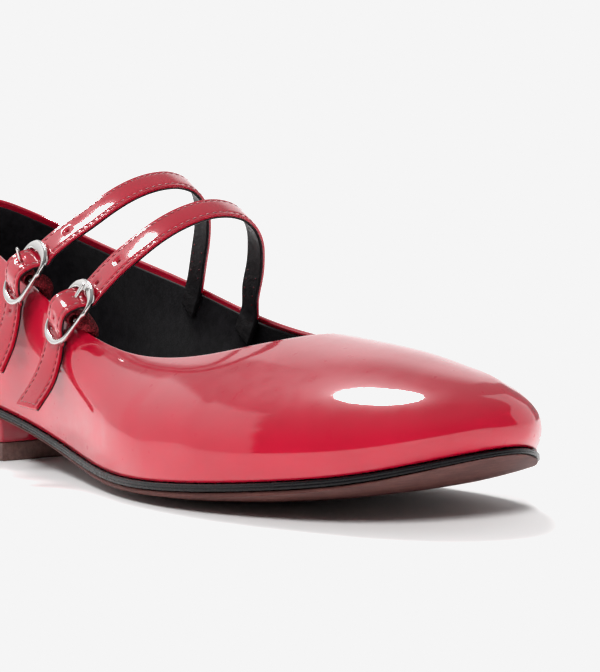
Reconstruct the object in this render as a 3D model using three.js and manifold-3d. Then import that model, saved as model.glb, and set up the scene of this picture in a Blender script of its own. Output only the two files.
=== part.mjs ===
// Mary jane shoe for the right foot: patent upper on a low covered heel, with two buckled instep straps.
// Millimetres, +Z up. Worked out with x from the back of the heel to the toe tip, y to the medial side
// and z from the floor, then moved so that the origin is the middle of the whole shoe on the floor.
import * as THREE from "three";
import { mergeVertices } from "three/addons/utils/BufferGeometryUtils.js";
import Module from "manifold-3d";

const wasm = await Module();
wasm.setup();

// Last: the form that the upper is pulled over
const FOOT_LENGTH = 251;
const BALL_WIDTH = 84;
const BACK_HEIGHT = 81.5;
const HEEL_PITCH = 21.5;

// Upper, insole and sole layers
const UPPER_WALL = 2;
const EDGE_BAND = 1.9;
const BAND_OVERHANG = 0.9;
const INSOLE_THICKNESS = 1.8;
const INSOLE_CLEARANCE = 0.5;
const OUTSOLE_EDGE = 1.2;
const OUTSOLE_CROWN = 3.7;
const OUTSOLE_INSET = 0.6;
const CROWN_POWER = 2.6;
const SEAT_GAP = 0.3;

// Heel
const HEEL_BREAST = 57;
const LIFT_HEIGHT = 5.5;
const HEEL_TOP_INSET = 2.4;
const HEEL_TAPER = 1.6;
const HEEL_WAIST = 0.8;
const LIFT_INSET = 0.6;

// Straps and their buckles
const STRAP_WIDTH = 9.4;
const STRAP_THICKNESS = 1.6;
const STRAP_LEAN = 27;
const STRAP_SWING = 9;
const ROOT_DEPTH = 8;
const ROOT_CLEARANCE = 1.6;
const TAIL_LENGTH = 20.5;
const TAIL_LEAN = 2;
const TAIL_SWING = -9;
const HOLE_DIAMETER = 2.8;
const HOLE_PITCH = 8.5;
const HOLES_EACH_WAY = 2;
const BUCKLE_LENGTH = 20.5;
const BUCKLE_WIDTH = 13.6;
const BUCKLE_THICKNESS = 1.6;
const BUCKLE_UPPER_END = 3.6;
const BUCKLE_LOWER_END = 1.9;
const BUCKLE_SIDE = 1.5;
const BUCKLE_ROUND = 5.4;
const BAR_WIDTH = 1.6;
const SLOT_CORNER = 0.4;
const SLOT_ROUND = 1.1;
const PIN_WIDTH = 1.4;
const PIN_THICKNESS = 1.1;
const ELASTIC_WIDTH = 9;
const ELASTIC_PLY = 1.1;
const ELASTIC_DEPTH = 9;
const SLOT_CLEARANCE = 0.5;
const PASS_CLEARANCE = 0.45;

// Sections of the last from the back of the heel to the toe tip, in percent of the named sizes:
// at, topAt of FOOT_LENGTH; lateral, medial, topLateral, topMedial, shoulderOut, crown of BALL_WIDTH;
// seat of HEEL_PITCH; topLateralUp, topMedialUp, shoulderUp of BACK_HEIGHT; band of EDGE_BAND; belly of
// the outsole's depth.
const SECTION_COLUMNS = [
  "at", "lateral", "medial", "seat",
  "topAt", "topLateral", "topMedial", "topLateralUp", "topMedialUp",
  "shoulderUp", "shoulderOut", "crown", "band", "belly",
];
const SECTIONS = [
  [0, 0, 0, 101, 2, 0, 0, 99, 99, 32, 3.6, 1.2, 100, 45],
  [1.2, 16.3, 15.5, 100, 2.9, 11.8, 11.7, 97, 95, 32, 3.6, 1.2, 100, 45],
  [5.6, 29.5, 28.6, 97, 6.7, 21.9, 21, 92, 89, 31, 3, 1.2, 100, 45],
  [13.6, 34.4, 33.3, 91, 14.1, 27.4, 25.5, 84.4, 81.5, 28.6, 2.4, 1.2, 100, 45],
  [23.2, 34.6, 29.9, 80, 22.3, 31.1, 27.9, 75.6, 74.4, 26, 2.4, 1.2, 100, 45],
  [33.5, 35.2, 25.7, 60, 30.7, 33.6, 30.2, 66.7, 68, 25, 2.4, 1.2, 100, 45],
  [43.9, 39.3, 27, 38, 38.6, 36.3, 31.5, 57.8, 61, 22, 2.4, 1.2, 100, 60],
  [53.4, 47.1, 33.6, 27, 46.1, 36.7, 31.2, 49.6, 55.5, 20, 1.8, 1.8, 100, 90],
  [62.9, 52.5, 42.5, 28, 52.9, 35.2, 30.4, 44.8, 51.7, 18, 1.2, 2.3, 100, 100],
  [72.4, 51.2, 47.9, 36, 59.1, 31.7, 28.2, 44.4, 49.7, 16.5, 0.8, 2.9, 100, 100],
  [81.2, 44.9, 46.9, 46.5, 64.1, 26.7, 25, 46.5, 50, 15.2, 0.6, 3.1, 97, 88],
  [89.2, 35.8, 39, 58.5, 68, 20.6, 21.3, 49.6, 51.4, 14.8, 1.3, 3.1, 92, 52],
  [94.6, 24, 25, 75, 70.7, 13.8, 15.5, 51.8, 52.5, 14.6, 2.5, 3.1, 80, 20],
  [97.4, 10.6, 12.6, 87, 72.2, 6.4, 10.2, 53.2, 52.9, 15, 3.4, 3.1, 68, 6],
  [98.1, -4.6, 4.6, 91, 72.9, -1, 1, 53.9, 53.9, 15.3, 3.8, 3.1, 62, 3],
];

// Arch of each strap in its own leaning plane, from the medial topline to the buckle: across in percent
// of the topline's width there, up in percent of the arch's rise. Station in percent of FOOT_LENGTH, rise of
// BACK_HEIGHT. Tail below the buckle: ahead, out and down in percent of TAIL_LENGTH. Pin: where it comes
// through the strap, and its tip, down the strap and outward in percent of BUCKLE_LENGTH.
const STRAPS = [
  {
    name: "front", station: 46.2, rise: 40.7,
    arch: [
      [7.4, 21.5], [9.3, 46], [11.6, 61.5], [14.7, 75.5], [20.4, 88.6], [28, 97.2], [36.1, 100],
      [45.1, 98.5], [53.7, 93], [62.3, 84.3], [70.9, 72], [79.6, 55.5], [87.5, 38.5],
    ],
    buckle: { across: 105.1, up: -6.2, lean: 23.5 },
    tail: [[1, 8, 25], [2, 21, 54], [2, 47, 89]],
    pin: { through: [-21.5, 5.6], tip: [-45.4, 9.3] },
  },
  {
    name: "rear", station: 35, rise: 42.9,
    arch: [
      [6.8, 30], [9.3, 54], [13, 73.5], [18.5, 87.5], [26, 96.7], [35.6, 100], [45.3, 97.6],
      [54.1, 92], [62.2, 84], [70.4, 73], [79.5, 58.5], [88.7, 44.5],
    ],
    buckle: { across: 106.9, up: 5.7, lean: 20 },
    tail: [[1, 6, 25], [2, 17, 58], [2, 37, 98]],
    pin: { through: [-11.7, 14.1], tip: [-28.3, 33.7] },
  },
];

// Mesh density
const STEPS_PER_ROW = 3;
const OUTER_STEPS = 9;
const INNER_STEPS = 7;
const ACROSS_STEPS = 6;
const HEEL_LEVELS = 3;
const STRAP_STEPS = 66;
const TIP_SLICE = 0.002;

const share = (percent, size) => (percent / 100) * size;
const vec = (x, y, z) => new THREE.Vector3(x, y, z);

function sectionRow(numbers) {
  return Object.fromEntries(SECTION_COLUMNS.map((name, i) => [name, numbers[i]]));
}

// One control row of the upper on one side: feather edge, topline and the wall's own shape
function sideRow(section, side) {
  const lateral = side === "lateral";
  const sign = lateral ? -1 : 1;
  return {
    feather: vec(
      share(section.at, FOOT_LENGTH),
      sign * share(lateral ? section.lateral : section.medial, BALL_WIDTH),
      share(section.seat, HEEL_PITCH),
    ),
    top: vec(
      share(section.topAt, FOOT_LENGTH),
      sign * share(lateral ? section.topLateral : section.topMedial, BALL_WIDTH),
      share(lateral ? section.topLateralUp : section.topMedialUp, BACK_HEIGHT),
    ),
    shoulderUp: share(section.shoulderUp, BACK_HEIGHT),
    shoulderOut: share(section.shoulderOut, BALL_WIDTH),
    crown: share(section.crown, BALL_WIDTH),
    band: share(section.band, EDGE_BAND),
    belly: section.belly / 100,
  };
}

// Control rows round the shoe: heel back, lateral side, toe tip, then the medial side back
const sections = SECTIONS.map(sectionRow);
const TIP_ROW = sections.length - 1;
const rows = [
  ...sections.map((section) => sideRow(section, "lateral")),
  ...sections.slice(1, TIP_ROW).reverse().map((section) => sideRow(section, "medial")),
];
const ROW_COUNT = rows.length;

// Levels of the control net on one row: feather, low wall, shoulder, two over the top, topline.
// Low wall: shares of the shoulder's height and reach. Over the top: share of the way up, and of the crown.
const LOW_WALL = { up: 0.42, out: 0.9 };
const OVER_TOP = [[0.36, 1], [0.7, 0.8]];
function netRow(index) {
  const row = rows[index];
  const before = rows[(index + ROW_COUNT - 1) % ROW_COUNT].feather;
  const after = rows[(index + 1) % ROW_COUNT].feather;
  const outward = vec(after.y - before.y, before.x - after.x, 0).normalize();
  const shoulder = row.feather.clone().addScaledVector(outward, row.shoulderOut);
  shoulder.z += row.shoulderUp;
  const low = row.feather.clone().addScaledVector(outward, row.shoulderOut * LOW_WALL.out + SEAT_GAP);
  low.z += row.shoulderUp * LOW_WALL.up;
  const rise = row.top.clone().sub(shoulder);
  const flat = Math.hypot(rise.x, rise.y);
  const normal = outward.clone().multiplyScalar(Math.abs(rise.z));
  normal.z += flat;
  normal.normalize();
  const over = OVER_TOP.map(([part, swell]) =>
    shoulder.clone().addScaledVector(rise, part).addScaledVector(normal, row.crown * swell),
  );
  return [row.feather, low, shoulder, ...over, row.top];
}

const net = rows.map((_, index) => netRow(index));

// Uniform cubic B-spline round the shoe, at a place counted in rows
function roundBlend(items, place, mix) {
  const cell = Math.floor(place);
  const u = place - cell;
  const weights = [
    (1 - u) ** 3 / 6,
    (3 * u ** 3 - 6 * u ** 2 + 4) / 6,
    (-3 * u ** 3 + 3 * u ** 2 + 3 * u + 1) / 6,
    u ** 3 / 6,
  ];
  const picked = weights.map((_, k) => items[(cell + k - 1 + 2 * ROW_COUNT) % ROW_COUNT]);
  return mix(picked, weights);
}

const mixPoints = (points, weights) =>
  points.reduce((sum, point, k) => sum.addScaledVector(point, weights[k]), vec(0, 0, 0));
const mixNumbers = (numbers, weights) => numbers.reduce((sum, n, k) => sum + n * weights[k], 0);

// Clamped cubic B-spline up the wall, from feather (0) to topline (1)
const WALL_KNOTS = [0, 0, 0, 0, 1 / 3, 2 / 3, 1, 1, 1, 1];
function wallWeights(height) {
  const u = Math.min(height, 1 - 1e-9);
  let basis = WALL_KNOTS.slice(0, -1).map((knot, i) => (u >= knot && u < WALL_KNOTS[i + 1] ? 1 : 0));
  for (let degree = 1; degree <= 3; degree += 1) {
    basis = basis.slice(0, -1).map((_, i) => {
      const left = WALL_KNOTS[i + degree] - WALL_KNOTS[i];
      const right = WALL_KNOTS[i + degree + 1] - WALL_KNOTS[i + 1];
      const rising = left > 0 ? ((u - WALL_KNOTS[i]) / left) * basis[i] : 0;
      const falling = right > 0 ? ((WALL_KNOTS[i + degree + 1] - u) / right) * basis[i + 1] : 0;
      return rising + falling;
    });
  }
  return basis;
}

function upperPoint(place, height) {
  const levels = net[0].map((_, level) => roundBlend(net.map((row) => row[level]), place, mixPoints));
  return mixPoints(levels, wallWeights(height));
}

function upperNormal(place, height) {
  const step = 0.02;
  const along = upperPoint(place + step, height).sub(upperPoint(place - step, height));
  const low = Math.max(height - step, 0);
  const high = Math.min(height + step, 1);
  const up = upperPoint(place, high).sub(upperPoint(place, low));
  return along.cross(up).normalize();
}

const feather = (place) => upperPoint(place, 0);
const topline = (place) => upperPoint(place, 1);
const bellyAt = (place) => roundBlend(rows.map((row) => row.belly), place, mixNumbers);
const bandAt = (place) => roundBlend(rows.map((row) => row.band), place, mixNumbers);

// Feather edge moved outward by a distance, level with itself
function featherOut(place, distance) {
  const step = 0.02;
  const along = feather(place + step).sub(feather(place - step));
  const outward = vec(along.y, -along.x, 0).normalize();
  return feather(place).addScaledVector(outward, distance);
}

function geometryFrom(points, faces) {
  const geometry = new THREE.BufferGeometry();
  geometry.setAttribute("position", new THREE.Float32BufferAttribute(points.flatMap((p) => [p.x, p.y, p.z]), 3));
  geometry.setIndex(faces);
  return geometry;
}

// Closed tube of rings: every ring has one point for each place round, and the last joins the first
function ringSolid(rings) {
  const count = rings[0].length;
  const faces = [];
  rings.forEach((_, r) => {
    const next = (r + 1) % rings.length;
    for (let i = 0; i < count; i += 1) {
      const j = (i + 1) % count;
      const [a, b, c, d] = [r * count + i, r * count + j, next * count + j, next * count + i];
      faces.push(a, b, c, a, c, d);
    }
  });
  return geometryFrom(rings.flat(), faces);
}

// Closed slab of cross rows: each row is a closed loop of points, first and last rows are capped
function rowSolid(loops) {
  const count = loops[0].length;
  const half = count / 2;
  const faces = [];
  for (let r = 0; r + 1 < loops.length; r += 1) {
    for (let i = 0; i < count; i += 1) {
      const j = (i + 1) % count;
      const [a, b] = [r * count + i, r * count + j];
      const [c, d] = [a + count, b + count];
      faces.push(a, d, b, a, c, d);
    }
  }
  const cap = (start, flip) => {
    for (let i = 0; i + 1 < half; i += 1) {
      const [a, b] = [start + i, start + i + 1];
      const [c, d] = [start + count - 1 - i, start + count - 2 - i];
      faces.push(...(flip ? [a, d, b, a, c, d] : [a, b, d, a, d, c]));
    }
  };
  cap(0, false);
  cap((loops.length - 1) * count, true);
  return geometryFrom(loops.flat(), faces);
}

function asSolid(geometry) {
  const bare = geometry.index ? geometry.clone() : geometry;
  bare.deleteAttribute("normal");
  bare.deleteAttribute("uv");
  const merged = mergeVertices(bare, 1e-4);
  return new wasm.Manifold(
    new wasm.Mesh({
      numProp: 3,
      vertProperties: new Float32Array(merged.attributes.position.array),
      triVerts: new Uint32Array(merged.index.array),
    }),
  );
}

function asGeometry(solid) {
  const mesh = solid.getMesh();
  const geometry = new THREE.BufferGeometry();
  geometry.setAttribute("position", new THREE.BufferAttribute(new Float32Array(mesh.vertProperties), 3));
  geometry.setIndex(Array.from(mesh.triVerts));
  return geometry;
}

// Upper: outer face from the last's own function, inner face one wall inside it
function makeUpper() {
  const places = Array.from({ length: ROW_COUNT * STEPS_PER_ROW }, (_, i) => i / STEPS_PER_ROW);
  const raise = (point, height) => {
    point.z += SEAT_GAP * (1 - height);
    return point;
  };
  const inside = (place, height) => {
    if (height === 0) {
      return raise(featherOut(place, -UPPER_WALL), 0);
    }
    return raise(upperPoint(place, height).addScaledVector(upperNormal(place, height), -UPPER_WALL), height);
  };
  const rings = [];
  for (let k = 0; k <= OUTER_STEPS; k += 1) {
    const height = k / OUTER_STEPS;
    rings.push(places.map((place) => raise(upperPoint(place, height), height)));
  }
  rings.push(
    places.map((place) => {
      const middle = topline(place).add(inside(place, 1)).multiplyScalar(0.5);
      const up = topline(place).sub(upperPoint(place, 0.97)).normalize();
      return middle.addScaledVector(up, UPPER_WALL * 0.35);
    }),
  );
  for (let k = INNER_STEPS; k >= 0; k -= 1) {
    rings.push(places.map((place) => inside(place, k / INNER_STEPS)));
  }
  return ringSolid(rings);
}

// Places along one side at which the slabs have their cross rows
function placesBetween(from, to) {
  const count = Math.max(2, Math.round((to - from) * STEPS_PER_ROW));
  return Array.from({ length: count + 1 }, (_, i) => from + ((to - from) * i) / count);
}

function placeAt(x) {
  let low = 0;
  let high = TIP_ROW;
  for (let i = 0; i < 40; i += 1) {
    const middle = (low + high) / 2;
    if (feather(middle).x < x) {
      low = middle;
    } else {
      high = middle;
    }
  }
  return low;
}

// Cross row of a slab: over its top from the lateral to the medial edge, and back under it
function crossRow(place, out, topZ, bottomZ) {
  const lateral = featherOut(place, out);
  const medial = featherOut(ROW_COUNT - place, out);
  const top = [];
  const bottom = [];
  for (let i = 0; i <= ACROSS_STEPS; i += 1) {
    const across = 0.5 - 0.5 * Math.cos((Math.PI * i) / ACROSS_STEPS);
    const point = lateral.clone().lerp(medial, across);
    const level = point.z;
    top.push(vec(point.x, point.y, topZ(level, across)));
    bottom.unshift(vec(point.x, point.y, bottomZ(level, across)));
  }
  return [...top, ...bottom];
}

const fullLength = () => placesBetween(TIP_SLICE, TIP_ROW - TIP_SLICE);

// Black edge layer between upper and outsole, its edge standing a little proud all round
function makeMidsole() {
  const loops = fullLength().map((place) =>
    crossRow(place, BAND_OVERHANG, (level) => level, (level) => level - bandAt(place)),
  );
  return rowSolid(loops);
}

// Insole: thin sheet on the edge layer, inside the upper's wall
function makeInsole() {
  const inset = -(UPPER_WALL + INSOLE_CLEARANCE);
  const bottom = (level) => level + SEAT_GAP;
  return rowSolid(fullLength().map((place) =>
    crossRow(place, inset, (level) => bottom(level) + INSOLE_THICKNESS, bottom),
  ));
}

// Outsole: from the heel's breast to the toe, crowned across, and worn level where it meets the floor
function makeOutsole() {
  const start = placeAt(HEEL_BREAST + SEAT_GAP);
  const loops = placesBetween(start, TIP_ROW - TIP_SLICE).map((place) => {
    const band = bandAt(place);
    const top = (level) => level - band - SEAT_GAP;
    const belly = bellyAt(place);
    const bottom = (level, across) => {
      const crown = OUTSOLE_CROWN * (1 - Math.abs(2 * across - 1) ** CROWN_POWER);
      return Math.max(0, top(level) - belly * (OUTSOLE_EDGE + crown));
    };
    return crossRow(place, BAND_OVERHANG - OUTSOLE_INSET, top, bottom);
  });
  return rowSolid(loops);
}

// Heel block: from the edge layer down to the lift, drawn in all round and a little waisted
function makeHeelBlock() {
  const places = placesBetween(TIP_SLICE, placeAt(HEEL_BREAST));
  const bottom = LIFT_HEIGHT + SEAT_GAP;
  const half = (place, towards) => {
    const points = [];
    for (let k = 0; k <= HEEL_LEVELS; k += 1) {
      const down = k / HEEL_LEVELS;
      const inset = HEEL_TOP_INSET + HEEL_TAPER * down + HEEL_WAIST * Math.sin(Math.PI * down);
      const point = featherOut(towards, BAND_OVERHANG - inset);
      const top = point.z - bandAt(place) - SEAT_GAP;
      points.push(vec(Math.min(point.x, HEEL_BREAST), point.y, top + (bottom - top) * down));
    }
    return points;
  };
  const loops = places.map((place) => {
    const lateral = half(place, place);
    const medial = half(place, ROW_COUNT - place);
    return [...lateral.reverse(), ...medial];
  });
  return rowSolid(loops);
}

// Top lift: the replaceable piece that meets the floor, flat underneath
function makeLift() {
  const places = placesBetween(TIP_SLICE, placeAt(HEEL_BREAST));
  const inset = HEEL_TOP_INSET + HEEL_TAPER;
  const edge = (towards, more, z) => {
    const point = featherOut(towards, BAND_OVERHANG - inset - more);
    return vec(Math.min(point.x, HEEL_BREAST), point.y, z);
  };
  const loops = places.map((place) => [
    edge(place, LIFT_INSET, 0),
    edge(place, 0, LIFT_INSET),
    edge(place, 0, LIFT_HEIGHT),
    edge(ROW_COUNT - place, 0, LIFT_HEIGHT),
    edge(ROW_COUNT - place, 0, LIFT_INSET),
    edge(ROW_COUNT - place, LIFT_INSET, 0),
  ]);
  return rowSolid(loops);
}

// Direction across a strap's width, dipping by lean and turned to the lateral side by swing
function wideWay(lean, swing) {
  const [dip, turn] = [lean, swing].map(THREE.MathUtils.degToRad);
  return vec(Math.cos(dip) * Math.cos(turn), -Math.cos(dip) * Math.sin(turn), -Math.sin(dip));
}

// Strap plane: it leans forward at the top, as the instep slopes
function strapPlane(strap) {
  const wide = wideWay(STRAP_LEAN, STRAP_SWING);
  const across = vec(0, 1, 0).addScaledVector(wide, -wide.y).normalize();
  const up = wide.clone().cross(across);
  const place = (from, to, wanted) => {
    let best = from;
    for (let t = from; t <= to; t += 0.01) {
      if (wanted(topline(t)) < wanted(topline(best))) {
        best = t;
      }
    }
    return best;
  };
  const x = share(strap.station, FOOT_LENGTH);
  const medial = topline(place(TIP_ROW, ROW_COUNT, (point) => Math.abs(point.x - x)));
  const lateral = topline(place(0, TIP_ROW, (point) => Math.abs(point.clone().sub(medial).dot(wide))));
  const flat = (point) => new THREE.Vector2(point.clone().sub(medial).dot(across), point.clone().sub(medial).dot(up));
  return { origin: medial, across, up, wide, lateral: flat(lateral), span: medial.y - lateral.y };
}

const rise = (strap) => share(strap.rise, BACK_HEIGHT);
const pinPoint = (buckle, [down, out]) => buckle.at(share(down, BUCKLE_LENGTH), share(out, BUCKLE_LENGTH));

// Buckle's own frame in the strap plane: along is down the strap, out is away from the foot
function buckleFrame(strap, plane) {
  const { across, up } = strap.buckle;
  const centre = new THREE.Vector2(-share(across, plane.span), share(up, rise(strap)));
  const lean = THREE.MathUtils.degToRad(strap.buckle.lean);
  const along = new THREE.Vector2(-Math.sin(lean), -Math.cos(lean));
  const out = new THREE.Vector2(-Math.cos(lean), Math.sin(lean));
  const at = (u, n) => centre.clone().addScaledVector(along, u).addScaledVector(out, n);
  return { centre, along, out, at };
}

const EYE_INNER = Math.hypot(BAR_WIDTH, BUCKLE_THICKNESS) / 2 + 0.2;
const EYE_OUTER = EYE_INNER + ELASTIC_PLY;
const STRAP_OVER = EYE_OUTER + PASS_CLEARANCE + STRAP_THICKNESS / 2;
const STRAP_UNDER = -(BUCKLE_THICKNESS / 2 + PASS_CLEARANCE + STRAP_THICKNESS / 2);

// Middle line of a strap: root inside the medial wall, arch, through the buckle, free tail
function strapCurve(strap, plane, buckle) {
  const rootAcross = -(UPPER_WALL + ROOT_CLEARANCE + STRAP_THICKNESS / 2);
  const arch = strap.arch.map(
    ([across, up]) => new THREE.Vector2(-share(across, plane.span), share(up, rise(strap))),
  );
  const end = BUCKLE_LENGTH / 2;
  const tailStart = buckle.at(end - BUCKLE_LOWER_END / 2, STRAP_UNDER);
  const points = [
    new THREE.Vector2(rootAcross, -ROOT_DEPTH),
    new THREE.Vector2(rootAcross, -ROOT_DEPTH / 2),
    new THREE.Vector2(rootAcross, 0),
    ...arch,
    buckle.at(-end + BUCKLE_UPPER_END * 0.4, STRAP_UNDER),
    buckle.at(-end + BUCKLE_UPPER_END + 0.2, STRAP_UNDER + 0.1),
    buckle.at(-end * 0.36, STRAP_OVER * 0.48),
    buckle.at(0, STRAP_OVER),
    buckle.at(end * 0.42, STRAP_OVER * 0.5),
    buckle.at(end - BUCKLE_LOWER_END - 0.4, STRAP_UNDER + 0.1),
    tailStart,
  ].map((point) => planePoint(plane, point));
  const start = points[points.length - 1];
  const tail = strap.tail.map(([ahead, out, down]) =>
    vec(ahead, -out, -down).multiplyScalar(TAIL_LENGTH / 100).add(start),
  );
  return new THREE.CatmullRomCurve3([...points, ...tail], false, "centripetal");
}

// Directions across the strap's width and out of its face at a share of its length: it lies in its
// plane as far as the buckle's end, and its free tail turns to hang upright
function strapTurn(curve, along, tailShare, plane) {
  const tangent = curve.getTangentAt(along);
  const turned = THREE.MathUtils.smoothstep(along, tailShare, 1);
  const wide = plane.wide.clone().lerp(wideWay(TAIL_LEAN, TAIL_SWING), turned);
  const face = tangent.clone().cross(wide).normalize();
  return { wide: face.clone().cross(tangent), face };
}

// Closed outline of a band of even thickness along a flat curve
function bandShape(curve, steps, thickness) {
  const left = [];
  const right = [];
  for (let i = 0; i <= steps; i += 1) {
    const point = curve.getPointAt(i / steps);
    const tangent = curve.getTangentAt(i / steps);
    const normal = new THREE.Vector2(-tangent.y, tangent.x).multiplyScalar(thickness / 2);
    left.push(point.clone().add(normal));
    right.unshift(point.clone().sub(normal));
  }
  return new THREE.Shape([...left, ...right]);
}

// Stands a flat shape up in the strap plane, as wide as asked
function extrudeInPlane(shape, width, plane, curveSegments = 12) {
  const geometry = new THREE.ExtrudeGeometry(shape, { depth: width, bevelEnabled: false, curveSegments });
  geometry.translate(0, 0, -width / 2);
  geometry.applyMatrix4(planeMatrix(plane));
  return geometry;
}

function planeMatrix(plane) {
  return new THREE.Matrix4().makeBasis(plane.across, plane.up, plane.wide).setPosition(plane.origin);
}

function planePoint(plane, flat) {
  return vec(flat.x, flat.y, 0).applyMatrix4(planeMatrix(plane));
}

// Share of the strap's length that lies nearest a point
function nearestShare(curve, point) {
  let best = 0;
  for (let i = 0; i <= 400; i += 1) {
    if (curve.getPointAt(i / 400).distanceTo(point) < curve.getPointAt(best).distanceTo(point)) {
      best = i / 400;
    }
  }
  return best;
}

// Round cutter through a strap's face
function holeCutter(middle, face) {
  const cutter = new THREE.CylinderGeometry(HOLE_DIAMETER / 2, HOLE_DIAMETER / 2, STRAP_THICKNESS * 3, 12);
  cutter.applyQuaternion(new THREE.Quaternion().setFromUnitVectors(vec(0, 1, 0), face));
  cutter.translate(middle.x, middle.y, middle.z);
  return asSolid(cutter);
}

function makeStrap(strap, plane, buckle) {
  const curve = strapCurve(strap, plane, buckle);
  curve.arcLengthDivisions = 800;
  const tailShare = nearestShare(curve, planePoint(plane, buckle.at(BUCKLE_LENGTH / 2, STRAP_UNDER)));
  const turn = (along) => strapTurn(curve, along, tailShare, plane);
  const loops = [];
  for (let i = 0; i <= STRAP_STEPS; i += 1) {
    const middle = curve.getPointAt(i / STRAP_STEPS);
    const { wide, face } = turn(i / STRAP_STEPS);
    const corner = (across, out) =>
      middle.clone()
        .addScaledVector(wide, (across * STRAP_WIDTH) / 2)
        .addScaledVector(face, (out * STRAP_THICKNESS) / 2);
    loops.push([corner(-1, 1), corner(1, 1), corner(1, -1), corner(-1, -1)]);
  }
  let solid = asSolid(rowSolid(loops));
  const pinShare = nearestShare(curve, planePoint(plane, pinPoint(buckle, strap.pin.through)));
  const pitch = HOLE_PITCH / curve.getLength();
  for (let k = -HOLES_EACH_WAY; k <= HOLES_EACH_WAY; k += 1) {
    const along = pinShare + k * pitch;
    if (along < 1) {
      solid = solid.subtract(holeCutter(curve.getPointAt(along), turn(along).face));
    }
  }
  return asGeometry(solid);
}

// Buckle frame: rounded oblong with a wide flat upper end, two slots and a bar between them
function makeBuckle(plane, buckle) {
  const half = BUCKLE_WIDTH / 2;
  const end = BUCKLE_LENGTH / 2;
  const outline = roundedOblong(half, -end, end, BUCKLE_ROUND, BUCKLE_ROUND);
  const inner = half - BUCKLE_SIDE;
  outline.holes.push(
    roundedOblong(inner, BAR_WIDTH / 2, end - BUCKLE_UPPER_END, SLOT_CORNER, SLOT_ROUND),
    roundedOblong(inner, -end + BUCKLE_LOWER_END, -BAR_WIDTH / 2, SLOT_ROUND, SLOT_CORNER),
  );
  const geometry = new THREE.ExtrudeGeometry(outline, {
    depth: BUCKLE_THICKNESS,
    bevelEnabled: false,
    curveSegments: 5,
  });
  geometry.translate(0, 0, -BUCKLE_THICKNESS / 2);
  const upward = plane.across.clone().multiplyScalar(-buckle.along.x).addScaledVector(plane.up, -buckle.along.y);
  const outward = plane.across.clone().multiplyScalar(buckle.out.x).addScaledVector(plane.up, buckle.out.y);
  const middle = planePoint(plane, buckle.centre);
  geometry.applyMatrix4(new THREE.Matrix4().makeBasis(plane.wide, upward, outward).setPosition(middle));
  return asGeometry(asSolid(geometry));
}

function roundedOblong(half, bottom, top, lowRadius, highRadius) {
  const shape = new THREE.Shape();
  shape.moveTo(half, bottom + lowRadius);
  shape.absarc(half - highRadius, top - highRadius, highRadius, 0, Math.PI / 2, false);
  shape.absarc(highRadius - half, top - highRadius, highRadius, Math.PI / 2, Math.PI, false);
  shape.absarc(lowRadius - half, bottom + lowRadius, lowRadius, Math.PI, 1.5 * Math.PI, false);
  shape.absarc(half - lowRadius, bottom + lowRadius, lowRadius, 1.5 * Math.PI, 2 * Math.PI, false);
  return shape;
}

function flatDisc(centre, radius) {
  const shape = new THREE.Shape();
  shape.absarc(centre.x, centre.y, radius, 0, 2 * Math.PI, false);
  return shape;
}

// Pin: an eye round the buckle's bar and a prong up through the strap's hole
function makePin(strap, plane, buckle) {
  const eye = EYE_INNER + PIN_THICKNESS * 0.75;
  const through = pinPoint(buckle, strap.pin.through);
  const tip = pinPoint(buckle, strap.pin.tip);
  const base = buckle.at(-EYE_INNER - PIN_THICKNESS / 2, 0);
  const prong = new THREE.SplineCurve([base, base.clone().lerp(through, 0.5), through, tip]);
  const solid = asSolid(extrudeInPlane(bandShape(prong, 12, PIN_THICKNESS), PIN_WIDTH, plane))
    .add(asSolid(extrudeInPlane(flatDisc(buckle.centre, eye), PIN_WIDTH, plane, 8)))
    .subtract(asSolid(extrudeInPlane(flatDisc(buckle.centre, EYE_INNER), PIN_WIDTH * 2, plane, 8)));
  return asGeometry(solid);
}

// Elastic: two plies sewn together, rooted inside the lateral wall, with an eye round the bar
function makeElastic(plane, buckle) {
  const thickness = 2 * ELASTIC_PLY;
  const root = plane.lateral.x + UPPER_WALL + PASS_CLEARANCE + thickness / 2;
  const top = plane.lateral.y;
  const eye = buckle.at(0.4, -EYE_INNER - ELASTIC_PLY / 2);
  const over = (inward, up) =>
    new THREE.Vector2(eye.x + (root - eye.x) * inward, top + (eye.y - top) * up);
  const strip = new THREE.SplineCurve([
    new THREE.Vector2(root, top - ELASTIC_DEPTH),
    new THREE.Vector2(root, top - ELASTIC_DEPTH / 2),
    over(1, 0),
    over(0.88, 0.62),
    over(0.5, 0.98),
    eye,
  ]);
  const slot = flatDisc(buckle.centre, EYE_OUTER + SLOT_CLEARANCE + 0.6);
  const solid = asSolid(extrudeInPlane(bandShape(strip, 16, thickness), ELASTIC_WIDTH, plane))
    .add(asSolid(extrudeInPlane(flatDisc(buckle.centre, EYE_OUTER), ELASTIC_WIDTH, plane, 8)))
    .subtract(asSolid(extrudeInPlane(flatDisc(buckle.centre, EYE_INNER), ELASTIC_WIDTH * 2, plane, 8)))
    .subtract(asSolid(extrudeInPlane(slot, PIN_WIDTH + 2 * SLOT_CLEARANCE, plane, 8)));
  return asGeometry(solid);
}

const PATENT = { color: 0xc0142c, roughness: 0.08, metalness: 0 };
const MATERIALS = {
  upper: PATENT,
  midsole: { color: 0x1b191c, roughness: 0.35, metalness: 0 },
  outsole: { color: 0x7a4a42, roughness: 0.55, metalness: 0 },
  insole: { color: 0x17151a, roughness: 0.95, metalness: 0 },
  heel_block: { color: 0xa31228, roughness: 0.12, metalness: 0 },
  heel_top_lift: { color: 0x5f433b, roughness: 0.6, metalness: 0 },
  strap: PATENT,
  buckle: { color: 0xd8d8da, roughness: 0.15, metalness: 1 },
  pin: { color: 0xd8d8da, roughness: 0.18, metalness: 1 },
  elastic: { color: 0x6e1624, roughness: 0.85, metalness: 0 },
};

const shoe = new THREE.Group();

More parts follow.
